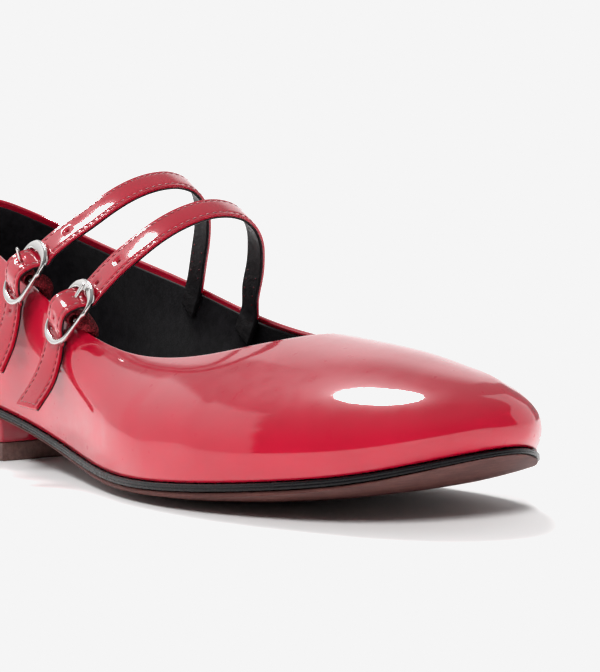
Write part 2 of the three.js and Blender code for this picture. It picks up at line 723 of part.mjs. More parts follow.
function addPiece(name, geometry, finish) {
  const mesh = new THREE.Mesh(geometry, new THREE.MeshStandardMaterial(MATERIALS[finish]));
  mesh.name = name;
  shoe.add(mesh);
}

addPiece("upper", makeUpper(), "upper");
addPiece("midsole", makeMidsole(), "midsole");
addPiece("outsole", makeOutsole(), "outsole");
addPiece("insole", makeInsole(), "insole");
addPiece("heel_block", makeHeelBlock(), "heel_block");
addPiece("heel_top_lift", makeLift(), "heel_top_lift");
for (const strap of STRAPS) {
  const plane = strapPlane(strap);
  const buckle = buckleFrame(strap, plane);
  addPiece(`strap_${strap.name}`, makeStrap(strap, plane, buckle), "strap");
  addPiece(`buckle_${strap.name}`, makeBuckle(plane, buckle), "buckle");
  addPiece(`pin_${strap.name}`, makePin(strap, plane, buckle), "pin");
  addPiece(`elastic_${strap.name}`, makeElastic(plane, buckle), "elastic");
}

// The origin is the middle of the shoe's outer box, on the floor
const box = new THREE.Box3().setFromObject(shoe);
const middle = box.getCenter(vec(0, 0, 0));
shoe.children.forEach((mesh) => mesh.position.set(-middle.x, -middle.y, -box.min.z));

export default shoe;
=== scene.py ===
# Mary jane shoe for the right foot, in red patent leather with two buckled instep straps.
# Lengths are in millimetres from the back of the heel (x), the shoe's middle line (y) and the floor (z),
# until to_row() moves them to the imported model's own place in metres.

import math

import bmesh
import bpy
import numpy as np
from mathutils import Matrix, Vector


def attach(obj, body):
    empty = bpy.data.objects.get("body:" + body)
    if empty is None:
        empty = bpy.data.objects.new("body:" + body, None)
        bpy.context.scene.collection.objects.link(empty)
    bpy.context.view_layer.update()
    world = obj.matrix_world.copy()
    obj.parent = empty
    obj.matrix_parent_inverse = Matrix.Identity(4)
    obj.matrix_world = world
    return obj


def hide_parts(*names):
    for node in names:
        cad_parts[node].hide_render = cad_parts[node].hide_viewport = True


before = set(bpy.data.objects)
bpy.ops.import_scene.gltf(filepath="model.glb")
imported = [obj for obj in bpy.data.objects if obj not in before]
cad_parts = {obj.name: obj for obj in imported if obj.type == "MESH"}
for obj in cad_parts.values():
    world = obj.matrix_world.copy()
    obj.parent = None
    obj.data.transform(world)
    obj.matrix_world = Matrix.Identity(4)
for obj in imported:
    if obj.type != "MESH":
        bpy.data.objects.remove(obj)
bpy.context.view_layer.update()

SHOE_TO_ROW = np.array([-122.95958, 2.48791, 0.0])


def to_row(points):
    return (np.asarray(points, float) + SHOE_TO_ROW) * 0.001


# Camera: low and to the front right of the shoe, close enough that the toe looks large.
# The photo's frame is 600 by 672, and its left edge crops the heel.
CAMERA_AZIMUTH = math.radians(51.73)
CAMERA_ELEVATION = math.radians(3.374)
CAMERA_DISTANCE = 507.586
CAMERA_TARGET = (169.785, 0.0, 42.334)
CAMERA_LENS = 1919.647 / 672 * 36

camera_data = bpy.data.cameras.new("shoe_camera")
camera_data.lens = CAMERA_LENS
camera_data.sensor_width = 36
camera_data.clip_start = 0.02
camera_data.clip_end = 30
camera = bpy.data.objects.new("shoe_camera", camera_data)
bpy.context.scene.collection.objects.link(camera)
towards_camera = Vector((
    math.sin(CAMERA_AZIMUTH) * math.cos(CAMERA_ELEVATION),
    -math.cos(CAMERA_AZIMUTH) * math.cos(CAMERA_ELEVATION),
    math.sin(CAMERA_ELEVATION),
))
camera.location = Vector(to_row(CAMERA_TARGET)) + towards_camera * CAMERA_DISTANCE * 0.001
camera.rotation_mode = "QUATERNION"
camera.rotation_quaternion = (-towards_camera).to_track_quat("-Z", "Y")
bpy.context.scene.camera = camera


# Upper: one piece of red patent leather pulled over the last, with its topline folded inward.
# The black suede lining is glued inside and stops just below the folded edge.
# Percent shares of the last's sizes, one row for each section from the heel's back to the toe tip.
FOOT_LENGTH = 251
BALL_WIDTH = 84
BACK_HEIGHT = 81.5
HEEL_PITCH = 21.5
SEAT_GAP = 0.3
EDGE_BAND = 1.9
SECTION_COLUMNS = (
    "at", "lateral", "medial", "seat",
    "top_at", "top_lateral", "top_medial", "top_lateral_up", "top_medial_up",
    "shoulder_up", "shoulder_out", "crown", "band", "belly",
)
SECTIONS = (
    (0, 0, 0, 101, 2, 0, 0, 99, 99, 32, 3.6, 1.2, 100, 45),
    (1.2, 16.3, 15.5, 100, 2.9, 11.8, 11.7, 97, 95, 32, 3.6, 1.2, 100, 45),
    (5.6, 29.5, 28.6, 97, 6.7, 21.9, 21, 92, 89, 31, 3, 1.2, 100, 45),
    (13.6, 34.4, 33.3, 91, 14.1, 27.4, 25.5, 84.4, 81.5, 28.6, 2.4, 1.2, 100, 45),
    (23.2, 34.6, 29.9, 80, 22.3, 31.1, 27.9, 75.6, 74.4, 26, 2.4, 1.2, 100, 45),
    (33.5, 35.2, 25.7, 60, 30.7, 33.6, 30.2, 66.7, 68, 25, 2.4, 1.2, 100, 45),
    (43.9, 39.3, 27, 38, 38.6, 36.3, 31.5, 57.8, 61, 22, 2.4, 1.2, 100, 60),
    (53.4, 47.1, 33.6, 27, 46.1, 36.7, 31.2, 49.6, 55.5, 20, 1.8, 1.8, 100, 90),
    (62.9, 52.5, 42.5, 28, 52.9, 35.2, 30.4, 44.8, 51.7, 18, 1.2, 2.3, 100, 100),
    (72.4, 51.2, 47.9, 36, 59.1, 31.7, 28.2, 44.4, 49.7, 16.5, 0.8, 2.9, 100, 100),
    (81.2, 44.9, 46.9, 46.5, 64.1, 26.7, 25, 46.5, 50, 15.2, 0.6, 3.1, 97, 88),
    (89.2, 35.8, 39, 58.5, 68, 20.6, 21.3, 49.6, 51.4, 14.8, 1.3, 3.1, 92, 52),
    (94.6, 24, 25, 75, 70.7, 13.8, 15.5, 51.8, 52.5, 14.6, 2.5, 3.1, 80, 20),
    (97.4, 10.6, 12.6, 87, 72.2, 6.4, 10.2, 53.2, 52.9, 15, 3.4, 3.1, 68, 6),
    (98.1, -4.6, 4.6, 91, 72.9, -1, 1, 53.9, 53.9, 15.3, 3.8, 3.1, 62, 3),
)
LOW_WALL_UP = 0.42
LOW_WALL_OUT = 0.9
TOE_FROM = (0.8, 0.95)
TOE_LOW_DROP = 0.12
TOE_LOW_OUT = 0.45
OVER_TOP = ((0.36, 1.0), (0.7, 0.8))
WALL_KNOTS = (0, 0, 0, 0, 1 / 3, 2 / 3, 1, 1, 1, 1)
STEP_BESIDE = 0.02

sections = [dict(zip(SECTION_COLUMNS, row)) for row in SECTIONS]
TIP_ROW = len(sections) - 1
ROW_COUNT = 2 * TIP_ROW


def last_row(section, side):
    """Feather edge, topline and wall sizes of one section on one side."""
    sign = -1 if side == "lateral" else 1
    width = BALL_WIDTH / 100
    return {
        "feather": np.array([
            section["at"] / 100 * FOOT_LENGTH,
            sign * section[side] * width,
            section["seat"] / 100 * HEEL_PITCH,
        ]),
        "top": np.array([
            section["top_at"] / 100 * FOOT_LENGTH,
            sign * section["top_" + side] * width,
            section["top_" + side + "_up"] / 100 * BACK_HEIGHT,
        ]),
        "shoulder_up": section["shoulder_up"] / 100 * BACK_HEIGHT,
        "shoulder_out": section["shoulder_out"] * width,
        "crown": section["crown"] * width,
        "band": section["band"] / 100 * EDGE_BAND,
        "belly": section["belly"] / 100,
    }


last_rows = [last_row(section, "lateral") for section in sections]
last_rows += [last_row(section, "medial") for section in sections[-2:0:-1]]


def unit(vectors):
    return vectors / np.maximum(np.linalg.norm(vectors, axis=-1, keepdims=True), 1e-12)


def wall_net(index):
    """Six levels of one row: feather, low wall, shoulder, two over the top, topline."""
    row = last_rows[index]
    before = last_rows[index - 1]["feather"]
    after = last_rows[(index + 1) % ROW_COUNT]["feather"]
    outward = unit(np.array([after[1] - before[1], before[0] - after[0], 0.0]))
    up = np.array([0.0, 0.0, 1.0])
    shoulder = row["feather"] + outward * row["shoulder_out"] + up * row["shoulder_up"]
    low = row["feather"] + outward * (row["shoulder_out"] * LOW_WALL_OUT + SEAT_GAP)
    toe = np.interp(row["feather"][0] / FOOT_LENGTH, TOE_FROM, (0, 1))
    low = low + up * row["shoulder_up"] * (LOW_WALL_UP - TOE_LOW_DROP * toe) + outward * TOE_LOW_OUT * toe
    rise = row["top"] - shoulder
    normal = unit(outward * abs(rise[2]) + up * math.hypot(rise[0], rise[1]))
    over = [shoulder + rise * part + normal * row["crown"] * swell for part, swell in OVER_TOP]
    return [row["feather"], low, shoulder, *over, row["top"]]


net = np.array([wall_net(index) for index in range(ROW_COUNT)])


def round_weights(places):
    """Uniform cubic B-spline round the shoe; a place counts rows from the heel over the lateral side."""
    places = np.asarray(places, float)
    cell = np.floor(places).astype(int)
    u = places - cell
    basis = (
        (1 - u) ** 3 / 6,
        (3 * u**3 - 6 * u**2 + 4) / 6,
        (-3 * u**3 + 3 * u**2 + 3 * u + 1) / 6,
        u**3 / 6,
    )
    weights = np.zeros((len(places), ROW_COUNT))
    for k in range(4):
        np.add.at(weights, (np.arange(len(places)), (cell + k - 1) % ROW_COUNT), basis[k])
    return weights


def wall_weights(heights):
    """Clamped cubic B-spline up the wall, from the feather edge (0) to the topline (1)."""
    u = np.clip(np.asarray(heights, float), 0, 1 - 1e-9)
    knots = WALL_KNOTS
    basis = [((u >= knots[i]) & (u < knots[i + 1])).astype(float) for i in range(len(knots) - 1)]
    for degree in (1, 2, 3):
        following = []
        for i in range(len(basis) - 1):
            left = knots[i + degree] - knots[i]
            right = knots[i + degree + 1] - knots[i + 1]
            value = np.zeros_like(u)
            if left > 0:
                value = value + (u - knots[i]) / left * basis[i]
            if right > 0:
                value = value + (knots[i + degree + 1] - u) / right * basis[i + 1]
            following.append(value)
        basis = following
    return np.stack(basis, axis=-1)


def wall_points(places, heights):
    """Points on the last; heights is one list for all places, or one list for each place."""
    levels = np.einsum("pr,rkc->pkc", round_weights(places), net)
    heights = np.asarray(heights, float)
    if heights.ndim == 1:
        heights = np.tile(heights, (len(levels), 1))
    return np.einsum("phk,pkc->phc", wall_weights(heights), levels)


def wall_normals(places, heights):
    """Outward directions on the last."""
    places = np.asarray(places, float)
    heights = np.asarray(heights, float)
    along = wall_points(places + STEP_BESIDE, heights) - wall_points(places - STEP_BESIDE, heights)
    above = wall_points(places, np.minimum(heights + STEP_BESIDE, 1))
    below = wall_points(places, np.maximum(heights - STEP_BESIDE, 0))
    return unit(np.cross(along, above - below))


def heights_below(places, depths):
    """Wall heights at which the topline lies the given distances above, for each place."""
    fine = np.linspace(0, 1, 121)
    path = wall_points(places, fine)
    steps = np.linalg.norm(np.diff(path, axis=1), axis=2)
    from_top = np.cumsum(steps[:, ::-1], axis=1)[:, ::-1]
    below = np.concatenate([from_top, np.zeros((len(path), 1))], axis=1)
    return np.array([np.interp(-np.asarray(depths, float), -row, fine) for row in below])


def place_reaching(length, tries, height=0.0):
    """The one of the tried places whose wall lies nearest to a length from the heel's back."""
    reach = wall_points(tries, [height])[:, 0, 0]
    return tries[int(np.argmin(np.abs(reach - length)))]


def place_at(at, side):
    """The place on one side whose feather edge lies at a percent of the foot's length."""
    tries = np.linspace(0, TIP_ROW, 1401)
    if side == "medial":
        tries = ROW_COUNT - tries
    return place_reaching(at / 100 * FOOT_LENGTH, tries)


def make_mesh(name, points, faces, finishes, face_finish=None, smooth=True):
    """A piece from points in millimetres, with one finish or several by face, riding on the shoe."""
    mesh = bpy.data.meshes.new(name)
    mesh.from_pydata(to_row(points).tolist(), [], [list(map(int, face)) for face in faces])
    for finish in finishes:
        mesh.materials.append(finish)
    if face_finish is not None:
        mesh.polygons.foreach_set("material_index", np.asarray(face_finish, np.int32))
    mesh.polygons.foreach_set("use_smooth", np.full(len(mesh.polygons), smooth))
    mesh.validate()
    work = bmesh.new()
    work.from_mesh(mesh)
    bmesh.ops.recalc_face_normals(work, faces=work.faces)
    work.to_mesh(mesh)
    work.free()
    piece = bpy.data.objects.new(name, mesh)
    bpy.context.scene.collection.objects.link(piece)
    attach(piece, "root")
    return piece


def grid_faces(rows, columns, wrap_rows=False, wrap_columns=True):
    """Quads of a grid of points, row after row, closed the ways that are asked."""
    r = np.arange(rows if wrap_rows else rows - 1)
    c = np.arange(columns if wrap_columns else columns - 1)
    r, c = np.meshgrid(r, c, indexing="ij")
    r, c = r.ravel(), c.ravel()
    after_r, after_c = (r + 1) % rows, (c + 1) % columns
    return np.stack([
        r * columns + c,
        r * columns + after_c,
        after_r * columns + after_c,
        after_r * columns + c,
    ], axis=1)


def smooth_step(values, low, high):
    """From 0 at the low value to 1 at the high one, level at both ends."""
    t = np.clip((np.asarray(values, float) - low) / (high - low), 0, 1)
    return t * t * (3 - 2 * t)


# Soft troughs (depth below 0) and ridges that the leather has from lasting and wear, each from one spot
# of the wall to another: side, percent of the foot's length, height up the wall; width and depth in mm.
CREASES = (
    ("lateral", 43, 0.98, "lateral", 47, 0.72, 3.2, -0.22),
    ("lateral", 45, 1.0, "lateral", 51, 0.8, 2.6, 0.16),
    ("lateral", 37, 0.98, "lateral", 39, 0.66, 4.5, -0.2),
    ("lateral", 62, 0.5, "lateral", 71, 0.34, 7, -0.32),
    ("lateral", 66, 0.62, "lateral", 74, 0.46, 6, 0.28),
    ("lateral", 55, 0.22, "lateral", 63, 0.3, 6, 0.3),
    ("lateral", 64, 0.14, "lateral", 72, 0.2, 5, -0.28),
    ("lateral", 98, 0.34, "medial", 97, 0.62, 2.2, 0.25),
    ("lateral", 97.5, 0.2, "medial", 97.5, 0.24, 2.0, -0.22),
    ("medial", 47, 1.0, "medial", 49, 0.5, 3, -0.35),
    ("medial", 60, 0.4, "medial", 72, 0.3, 6, -0.3),
    ("medial", 15, 0.8, "medial", 24, 0.5, 7, -0.35),
    ("lateral", 12, 0.75, "lateral", 22, 0.5, 7, -0.3),
)
SLOW_WAVES = (
    ((0.11, 0.05, 0.07), 0.4, 0.05),
    ((-0.06, 0.13, 0.1), 2.1, 0.04),
    ((0.19, 0.02, -0.12), 4.0, 0.03),
)


def crease_paths():
    """Each crease as a line of points on the wall, with its strength along them, width and depth."""
    paths = []
    for side, at, height, end_side, end_at, end_height, width, depth in CREASES:
        start, end = place_at(at, side), place_at(end_at, end_side)
        share = np.linspace(0, 1, 40)
        places = start + (end - start) * share
        heights = (height + (end_height - height) * share)[:, None]
        paths.append((wall_points(places, heights)[:, 0], np.sin(math.pi * share) ** 0.6, width, depth))
    return paths


def crease_lift(points):
    """How far the leather stands off the last at each point, from creases and slow waves."""
    flat = points.reshape(-1, 3)
    lift = np.zeros(len(flat))
    for path, strength, width, depth in crease_paths():
        distance = np.linalg.norm(flat[:, None, :] - path[None, :, :], axis=2)
        nearest = np.argmin(distance, axis=1)
        closest = distance[np.arange(len(flat)), nearest]
        lift += depth * strength[nearest] * np.exp(-((closest / width) ** 2))
    for direction, phase, size in SLOW_WAVES:
        lift += size * np.sin(flat @ np.array(direction) + phase)
    return lift.reshape(points.shape[:-1])


def object_place(material):
    """The piece's own coordinates, in metres, for a material's grain."""
    node = material.node_tree.nodes.new("ShaderNodeTexCoord")
    return node.outputs["Object"]


def grain(material, scale, detail=3.0, roughness=0.5, stretch=None, distortion=0.0):
    """Noise over the piece, as a number from 0 to 1."""
    tree = material.node_tree
    source = object_place(material)
    if stretch is not None:
        mapping = tree.nodes.new("ShaderNodeMapping")
        mapping.inputs["Scale"].default_value = stretch
        tree.links.new(source, mapping.inputs["Vector"])
        source = mapping.outputs["Vector"]
    noise = tree.nodes.new("ShaderNodeTexNoise")
    noise.inputs["Scale"].default_value = scale
    noise.inputs["Detail"].default_value = detail
    noise.inputs["Roughness"].default_value = roughness
    noise.inputs["Distortion"].default_value = distortion
    tree.links.new(source, noise.inputs["Vector"])
    return noise.outputs["Fac"]


def ramp(material, factor, stops):
    """Colour or grey by a number: stops are (position, colour)."""
    node = material.node_tree.nodes.new("ShaderNodeValToRGB")
    elements = node.color_ramp.elements
    while len(elements) < len(stops):
        elements.new(0.5)
    for element, (position, colour) in zip(elements, stops):
        element.position = position
        element.color = (*colour, 1) if hasattr(colour, "__len__") else (colour, colour, colour, 1)
    material.node_tree.links.new(factor, node.inputs["Fac"])
    return node.outputs["Color"]


def raised(material, height, depth, strength=1.0, under=None):
    """Bump of the given depth in metres, on top of another bump if there is one."""
    node = material.node_tree.nodes.new("ShaderNodeBump")
    node.inputs["Distance"].default_value = depth
    node.inputs["Strength"].default_value = strength
    material.node_tree.links.new(height, node.inputs["Height"])
    if under is not None:
        material.node_tree.links.new(under, node.inputs["Normal"])
    return node.outputs["Normal"]


def finish_of(name, colour, roughness, **sockets):
    """A material whose even values are set on the shader's own sockets."""
    material = bpy.data.materials.new(name)
    material.use_nodes = True
    shader = material.node_tree.nodes["Principled BSDF"]
    shader.inputs["Base Color"].default_value = (*colour, 1)
    shader.inputs["Roughness"].default_value = roughness
    for socket, value in sockets.items():
        shader.inputs[socket.replace("_", " ")].default_value = value
    return material, shader


def set_by(material, output, shader, socket):
    material.node_tree.links.new(output, shader.inputs[socket])


def grained_finish(name, colour, roughness, pattern, stops, depth, strength, **sockets):
    """A finish whose colour and fine relief follow one noise."""
    material, shader = finish_of(name, colour, roughness, **sockets)
    noise = grain(material, *pattern)
    set_by(material, ramp(material, noise, stops), shader, "Base Color")
    set_by(material, raised(material, noise, depth, strength), shader, "Normal")
    return material


PATENT_RED = (0.64, 0.007, 0.036)
PATENT_DEEP = (0.57, 0.0055, 0.03)


def patent_finish(name, colour=PATENT_RED, deep=PATENT_DEEP, pebble=0.00001, coat=1.0, coat_roughness=0.045):
    """Red patent leather: a deep colour coat under clear lacquer, with a faint orange peel."""
    material, shader = finish_of(name, colour, 0.32, Coat_Weight=coat, Coat_Roughness=coat_roughness,
                                 Coat_IOR=1.6, Specular_IOR_Level=0.03)
    shade = ramp(material, grain(material, 55, 4), ((0.3, deep), (0.7, colour)))
    set_by(material, shade, shader, "Base Color")
    set_by(material, ramp(material, grain(material, 240, 3), ((0.3, 0.27), (0.75, 0.4))), shader, "Roughness")
    peel = raised(material, grain(material, 170, 2, 0.4), pebble * 4, 0.5)
    fine = raised(material, grain(material, 900, 3, 0.5), pebble, 0.4, peel)
    set_by(material, fine, shader, "Normal")
    set_by(material, peel, shader, "Coat Normal")
    return material


def suede_finish(name, colour):
    """Black brushed lining with a short nap."""
    material, shader = finish_of(name, colour, 0.9, Sheen_Weight=0.12, Sheen_Roughness=0.4,
                                 Specular_IOR_Level=0.2)
    light = tuple(2.4 * channel + 0.005 for channel in colour)
    shade = ramp(material, grain(material, 320, 5, 0.65), ((0.35, colour), (0.75, light)))
    set_by(material, shade, shader, "Base Color")
    nap = raised(material, grain(material, 1500, 4, 0.7), 0.00018, 0.55)
    soft = raised(material, grain(material, 120, 3), 0.0005, 0.35, nap)
    set_by(material, soft, shader, "Normal")
    return material


patent = patent_finish("patent_red")
lining_black = suede_finish("lining_black", (0.009, 0.008, 0.0098))

SHELL = 1.25
INNER_DEPTHS = (0.0, 0.6, 1.2, 1.8, 2.4, 3.2)
EVEN_FROM = 5.0
EVEN_STEPS = 14
WALL_STEPS = 18
OUTER_STEPS = 66

round_places = np.arange(ROW_COUNT * WALL_STEPS) / WALL_STEPS


def lifted_wall(heights, inward=0.0, creased=True):
    """The upper's wall at some heights, moved inward, with its creases and the gap over the sole."""
    points = wall_points(round_places, heights)
    normals = wall_normals(round_places, heights)
    full = np.asarray(heights, float)
    full = np.tile(full, (len(round_places), 1)) if full.ndim == 1 else full
    if creased:
        fade = smooth_step(full, 0.0, 0.06)[..., None]
        points = points + normals * crease_lift(points)[..., None] * fade
    points = points - normals * inward
    points[..., 2] += SEAT_GAP * (1 - full)
    return points


def inner_heights(depths):
    """Heights of the wall's inner rings: some set depths under the topline, then even steps to the sole."""
    near_edge = heights_below(round_places, [*depths, EVEN_FROM])
    even = near_edge[:, -1:] * np.linspace(1, 0, EVEN_STEPS + 1)[1:]
    return np.concatenate([near_edge, even], axis=1)


def upper_shell():
    """The patent upper as one closed shell: outside, rounded topline, inside."""
    outer_heights = 1 - (1 - np.linspace(0, 1, OUTER_STEPS)) ** 1.15
    rings = list(np.swapaxes(lifted_wall(outer_heights), 0, 1))
    top = rings[-1]
    inner = lifted_wall(inner_heights(INNER_DEPTHS), SHELL, creased=False)
    inner = list(np.swapaxes(inner, 0, 1))
    rise = unit(top - rings[-3])
    middle = (top + inner[0]) / 2
    outward = (top - inner[0]) / 2
    for angle in np.linspace(0, math.pi, 9)[1:-1]:
        rings.append(middle + outward * math.cos(angle) + rise * SHELL * 0.5 * math.sin(angle))
    rings += inner
    faces = grid_faces(len(rings), len(round_places), wrap_rows=True)
    return make_mesh("upper_patent", np.concatenate(rings), faces, [patent])


upper_piece = upper_shell()
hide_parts("upper")

LINING = 0.7
LINING_GAP = 0.15
LINING_EDGE = 1.9
LINING_DEPTHS = np.array([0, 0.2, 0.5, 1, 2])
LINING_WAVE = 0.105
LINING_WAVE_WAY = np.array([0.21, 0.17, 0.3])


def upper_lining():
    """The lining as a closed layer inside the shell, from under the folded edge to the sole."""
    heights = inner_heights(LINING_EDGE + LINING_DEPTHS)
    points = wall_points(round_places, heights)
    normals = wall_normals(round_places, heights)
    points = points + normals * LINING_WAVE * np.sin(points @ LINING_WAVE_WAY)[..., None]
    points[..., 2] += SEAT_GAP * (1 - heights)
    back = SHELL + LINING_GAP
    rings = list(np.swapaxes(points - normals * back, 0, 1))[::-1]
    middle = points[:, 0] - normals[:, 0] * (back + LINING / 2)
    rise = unit(points[:, 0] - points[:, 1])
    for angle in np.linspace(0, math.pi, 6)[1:-1]:
        out = normals[:, 0] * math.cos(angle) + rise * math.sin(angle)
        rings.append(middle + out * LINING / 2)
    rings += list(np.swapaxes(points - normals * (back + LINING), 0, 1))
    faces = grid_faces(len(rings), len(round_places), wrap_rows=True)
    return make_mesh("upper_lining", np.concatenate(rings), faces, [lining_black])


upper_inside = upper_lining()


# Insole: a thin leatherboard sheet covered with the same black suede, glued on the edge layer.
# It lies just inside the upper's wall and dips a little under the heel and the ball.
INSOLE_INSET = 2.5
INSOLE_THICKNESS = 1.8
INSOLE_DIP = 0.5
INSOLE_EDGE_DROP = 0.4
INSOLE_ACROSS = 28
END_GAP = 0.02


def feather_out(places, distance):
    """Points beside the feather edge, moved outward level."""
    places = np.asarray(places)
    edge = wall_points(places, [0.0])[:, 0]
    after = wall_points(places + STEP_BESIDE, [0.0])[:, 0]
    before = wall_points(places - STEP_BESIDE, [0.0])[:, 0]
    along = (after - before) * np.array([1, 1, 0])
    outward = unit(np.stack([along[:, 1], -along[:, 0], np.zeros(len(edge))], axis=1))
    return edge + outward * np.asarray(distance).reshape(-1, 1)


def across_rows(places, distance, count):
    """Rows of points from the lateral to the medial edge, and the share across of each."""
    lateral = feather_out(places, distance)
    medial = feather_out(ROW_COUNT - np.asarray(places), distance)
    share = 0.5 - 0.5 * np.cos(np.linspace(0, math.pi, count + 1))
    return lateral[:, None] + (medial - lateral)[:, None] * share[None, :, None], share


def slab(name, top, bottom, finishes, face_finish=None):
    """Closed slab from rows over its top and the same rows under it."""
    loops = np.concatenate([top, bottom[:, ::-1]], axis=1)
    count, width = loops.shape[:2]
    faces = grid_faces(count, width).tolist()
    half = width // 2
    for row, turned in ((0, True), (count - 1, False)):
        base = row * width
        for k in range(half - 1):
            face = [base + k, base + k + 1, base + width - 2 - k, base + width - 1 - k]
            faces.append(face if turned else face[::-1])
    return make_mesh(name, loops.reshape(-1, 3), faces, finishes, face_finish)


def insole():
    """The covered sheet, from the heel's back to the toe."""
    places = np.linspace(END_GAP, TIP_ROW - END_GAP, 160)
    rows, share = across_rows(places, -INSOLE_INSET, INSOLE_ACROSS)
    bottom = rows + np.array([0, 0, SEAT_GAP])
    dip = INSOLE_DIP * np.sin(math.pi * share) ** 2
    top = bottom + np.array([0, 0, 1.0]) * (INSOLE_THICKNESS - dip[None, :, None])
    edge = smooth_step(np.minimum(share, 1 - share), 0, 0.01)
    top[..., 2] -= INSOLE_EDGE_DROP * (1 - edge)
    return slab("insole_cover", top, bottom, [lining_black])


insole_piece = insole()
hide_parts("insole")


# Edge layer: a strip of black board between upper and outsole, trimmed and inked at its edge.
# The edge stands a little proud of the upper, with a shallow groove pressed along it.
BAND_OVERHANG = 0.9
BAND_PROFILE = (
    (-4.5, 0.0), (0.3, 0.0), (0.6, -0.06), (0.8, -0.18), (0.88, -0.34), (0.8, -0.45),
    (0.79, -0.5), (0.88, -0.6), (0.93, -0.78), (0.85, -0.93), (0.62, -1.0), (-4.5, -1.0),
)


def by_row(key, places):
    """One of the rows' own sizes, blended for places between them."""
    return round_weights(places) @ np.array([row[key] for row in last_rows])


def edge_layer():
    """The whole layer: its edge profile round the sole, closed above and below."""
    thickness = by_row("band", round_places)
    rings = []
    for out, down in BAND_PROFILE:
        ring = feather_out(round_places, out)
        ring[:, 2] += down * thickness
        rings.append(ring)
    count = len(round_places)
    faces = grid_faces(len(rings), count).tolist()
    for ring, turned in ((0, False), (len(rings) - 1, True)):
        base = ring * count
        for k in range(count // 2):
            face = [base + k, base + k + 1, base + (count - k - 1) % count, base + (count - k) % count]
            face = list(dict.fromkeys(face))
            faces.append(face[::-1] if turned else face)
    return make_mesh("edge_band", np.concatenate(rings), faces, [edge_ink])


def ink_finish():
    """Black edge ink, with fine streaks along the edge."""
    material, shader = finish_of("edge_ink", (0.006, 0.005, 0.0062), 0.25, Specular_IOR_Level=0.22)
    set_by(material, ramp(material, grain(material, 400, 4), ((0.3, 0.2), (0.8, 0.36))), shader, "Roughness")
    streaks = grain(material, 300, 3, 0.6, (0.15, 0.15, 2.5))
    set_by(material, raised(material, streaks, 0.0002, 0.35), shader, "Normal")
    return material


edge_ink = ink_finish()
band_piece = edge_layer()
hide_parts("midsole")


# Outsole: a brown synthetic unit sole from the heel's breast to the toe, glued under the edge layer.
# It is crowned across and worn level under the ball. The photo's shoe has its edge inked black at the
# waist, and here it stays brown all round.
HEEL_BREAST = 57
OUTSOLE_OUT = 0.3
OUTSOLE_EDGE = 1.2
OUTSOLE_CROWN = 3.7
CROWN_POWER = 2.6
OUTSOLE_ACROSS = 44


def place_at_length(x):
    """The place on the lateral side at a length from the heel's back."""
    return place_reaching(x, np.linspace(0, TIP_ROW, 2801))


def outsole():
    """The unit sole: level above, crowned below down to the floor."""
    places = np.linspace(place_at_length(HEEL_BREAST + SEAT_GAP), TIP_ROW - END_GAP, 200)
    rows, share = across_rows(places, OUTSOLE_OUT, OUTSOLE_ACROSS)
    band = by_row("band", places)[:, None]
    belly = by_row("belly", places)[:, None]
    crown = 1 - np.abs(2 * share - 1) ** CROWN_POWER
    top = rows.copy()
    top[..., 2] -= band + SEAT_GAP
    bottom = rows.copy()
    bottom[..., 2] = np.maximum(0, top[..., 2] - belly * (OUTSOLE_EDGE + OUTSOLE_CROWN * crown))
    return slab("outsole_unit", top, bottom, [sole_brown])


def sole_finish():
    """Brown synthetic sole, speckled and streaked from wear."""
    material, shader = finish_of("sole_brown", (0.12, 0.045, 0.038), 0.55, Specular_IOR_Level=0.16)
    speckle = grain(material, 900, 5, 0.7)
    streaks = grain(material, 260, 4, 0.65, (0.12, 0.35, 3.0))
    mix = material.node_tree.nodes.new("ShaderNodeMix")
    mix.data_type = "FLOAT"
    material.node_tree.links.new(speckle, mix.inputs["A"])
    material.node_tree.links.new(streaks, mix.inputs["B"])
    mix.inputs["Factor"].default_value = 0.6
    shade = ramp(material, mix.outputs["Result"], (
        (0.3, (0.06, 0.022, 0.019)), (0.5, (0.12, 0.043, 0.037)), (0.72, (0.2, 0.082, 0.068)),
    ))
    set_by(material, shade, shader, "Base Color")
    set_by(material, raised(material, mix.outputs["Result"], 0.0003, 0.5), shader, "Normal")
    return material


sole_brown = sole_finish()
outsole_piece = outsole()
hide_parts("outsole")


# Heel: a plastic block covered in the same red patent, with its red painted darker as shade, and a brown
# rubber top lift nailed under it.
# The cover's edge is turned round the breast corners. The block tapers down, with a slight waist.
LIFT_HEIGHT = 5.5
HEEL_TOP_INSET = 2.4
HEEL_TAPER = 1.6
HEEL_WAIST = 0.8
LIFT_INSET = 0.6
LIFT_PROFILE = (
    (LIFT_INSET, 0), (0.2, 0.12), (0, 0.6), (0.02, 2.7), (0, LIFT_HEIGHT - 0.2), (0.2, LIFT_HEIGHT),
)
CORNER_LENGTH = 1.2
CORNER_TURN = 0.35


def heel_places(count=70):
    """Places from the heel's back to its breast, closer together near the breast."""
    share = np.linspace(0, 1, count)
    return END_GAP + (place_at_length(HEEL_BREAST) - END_GAP) * (1 - (1 - share) ** 1.6)


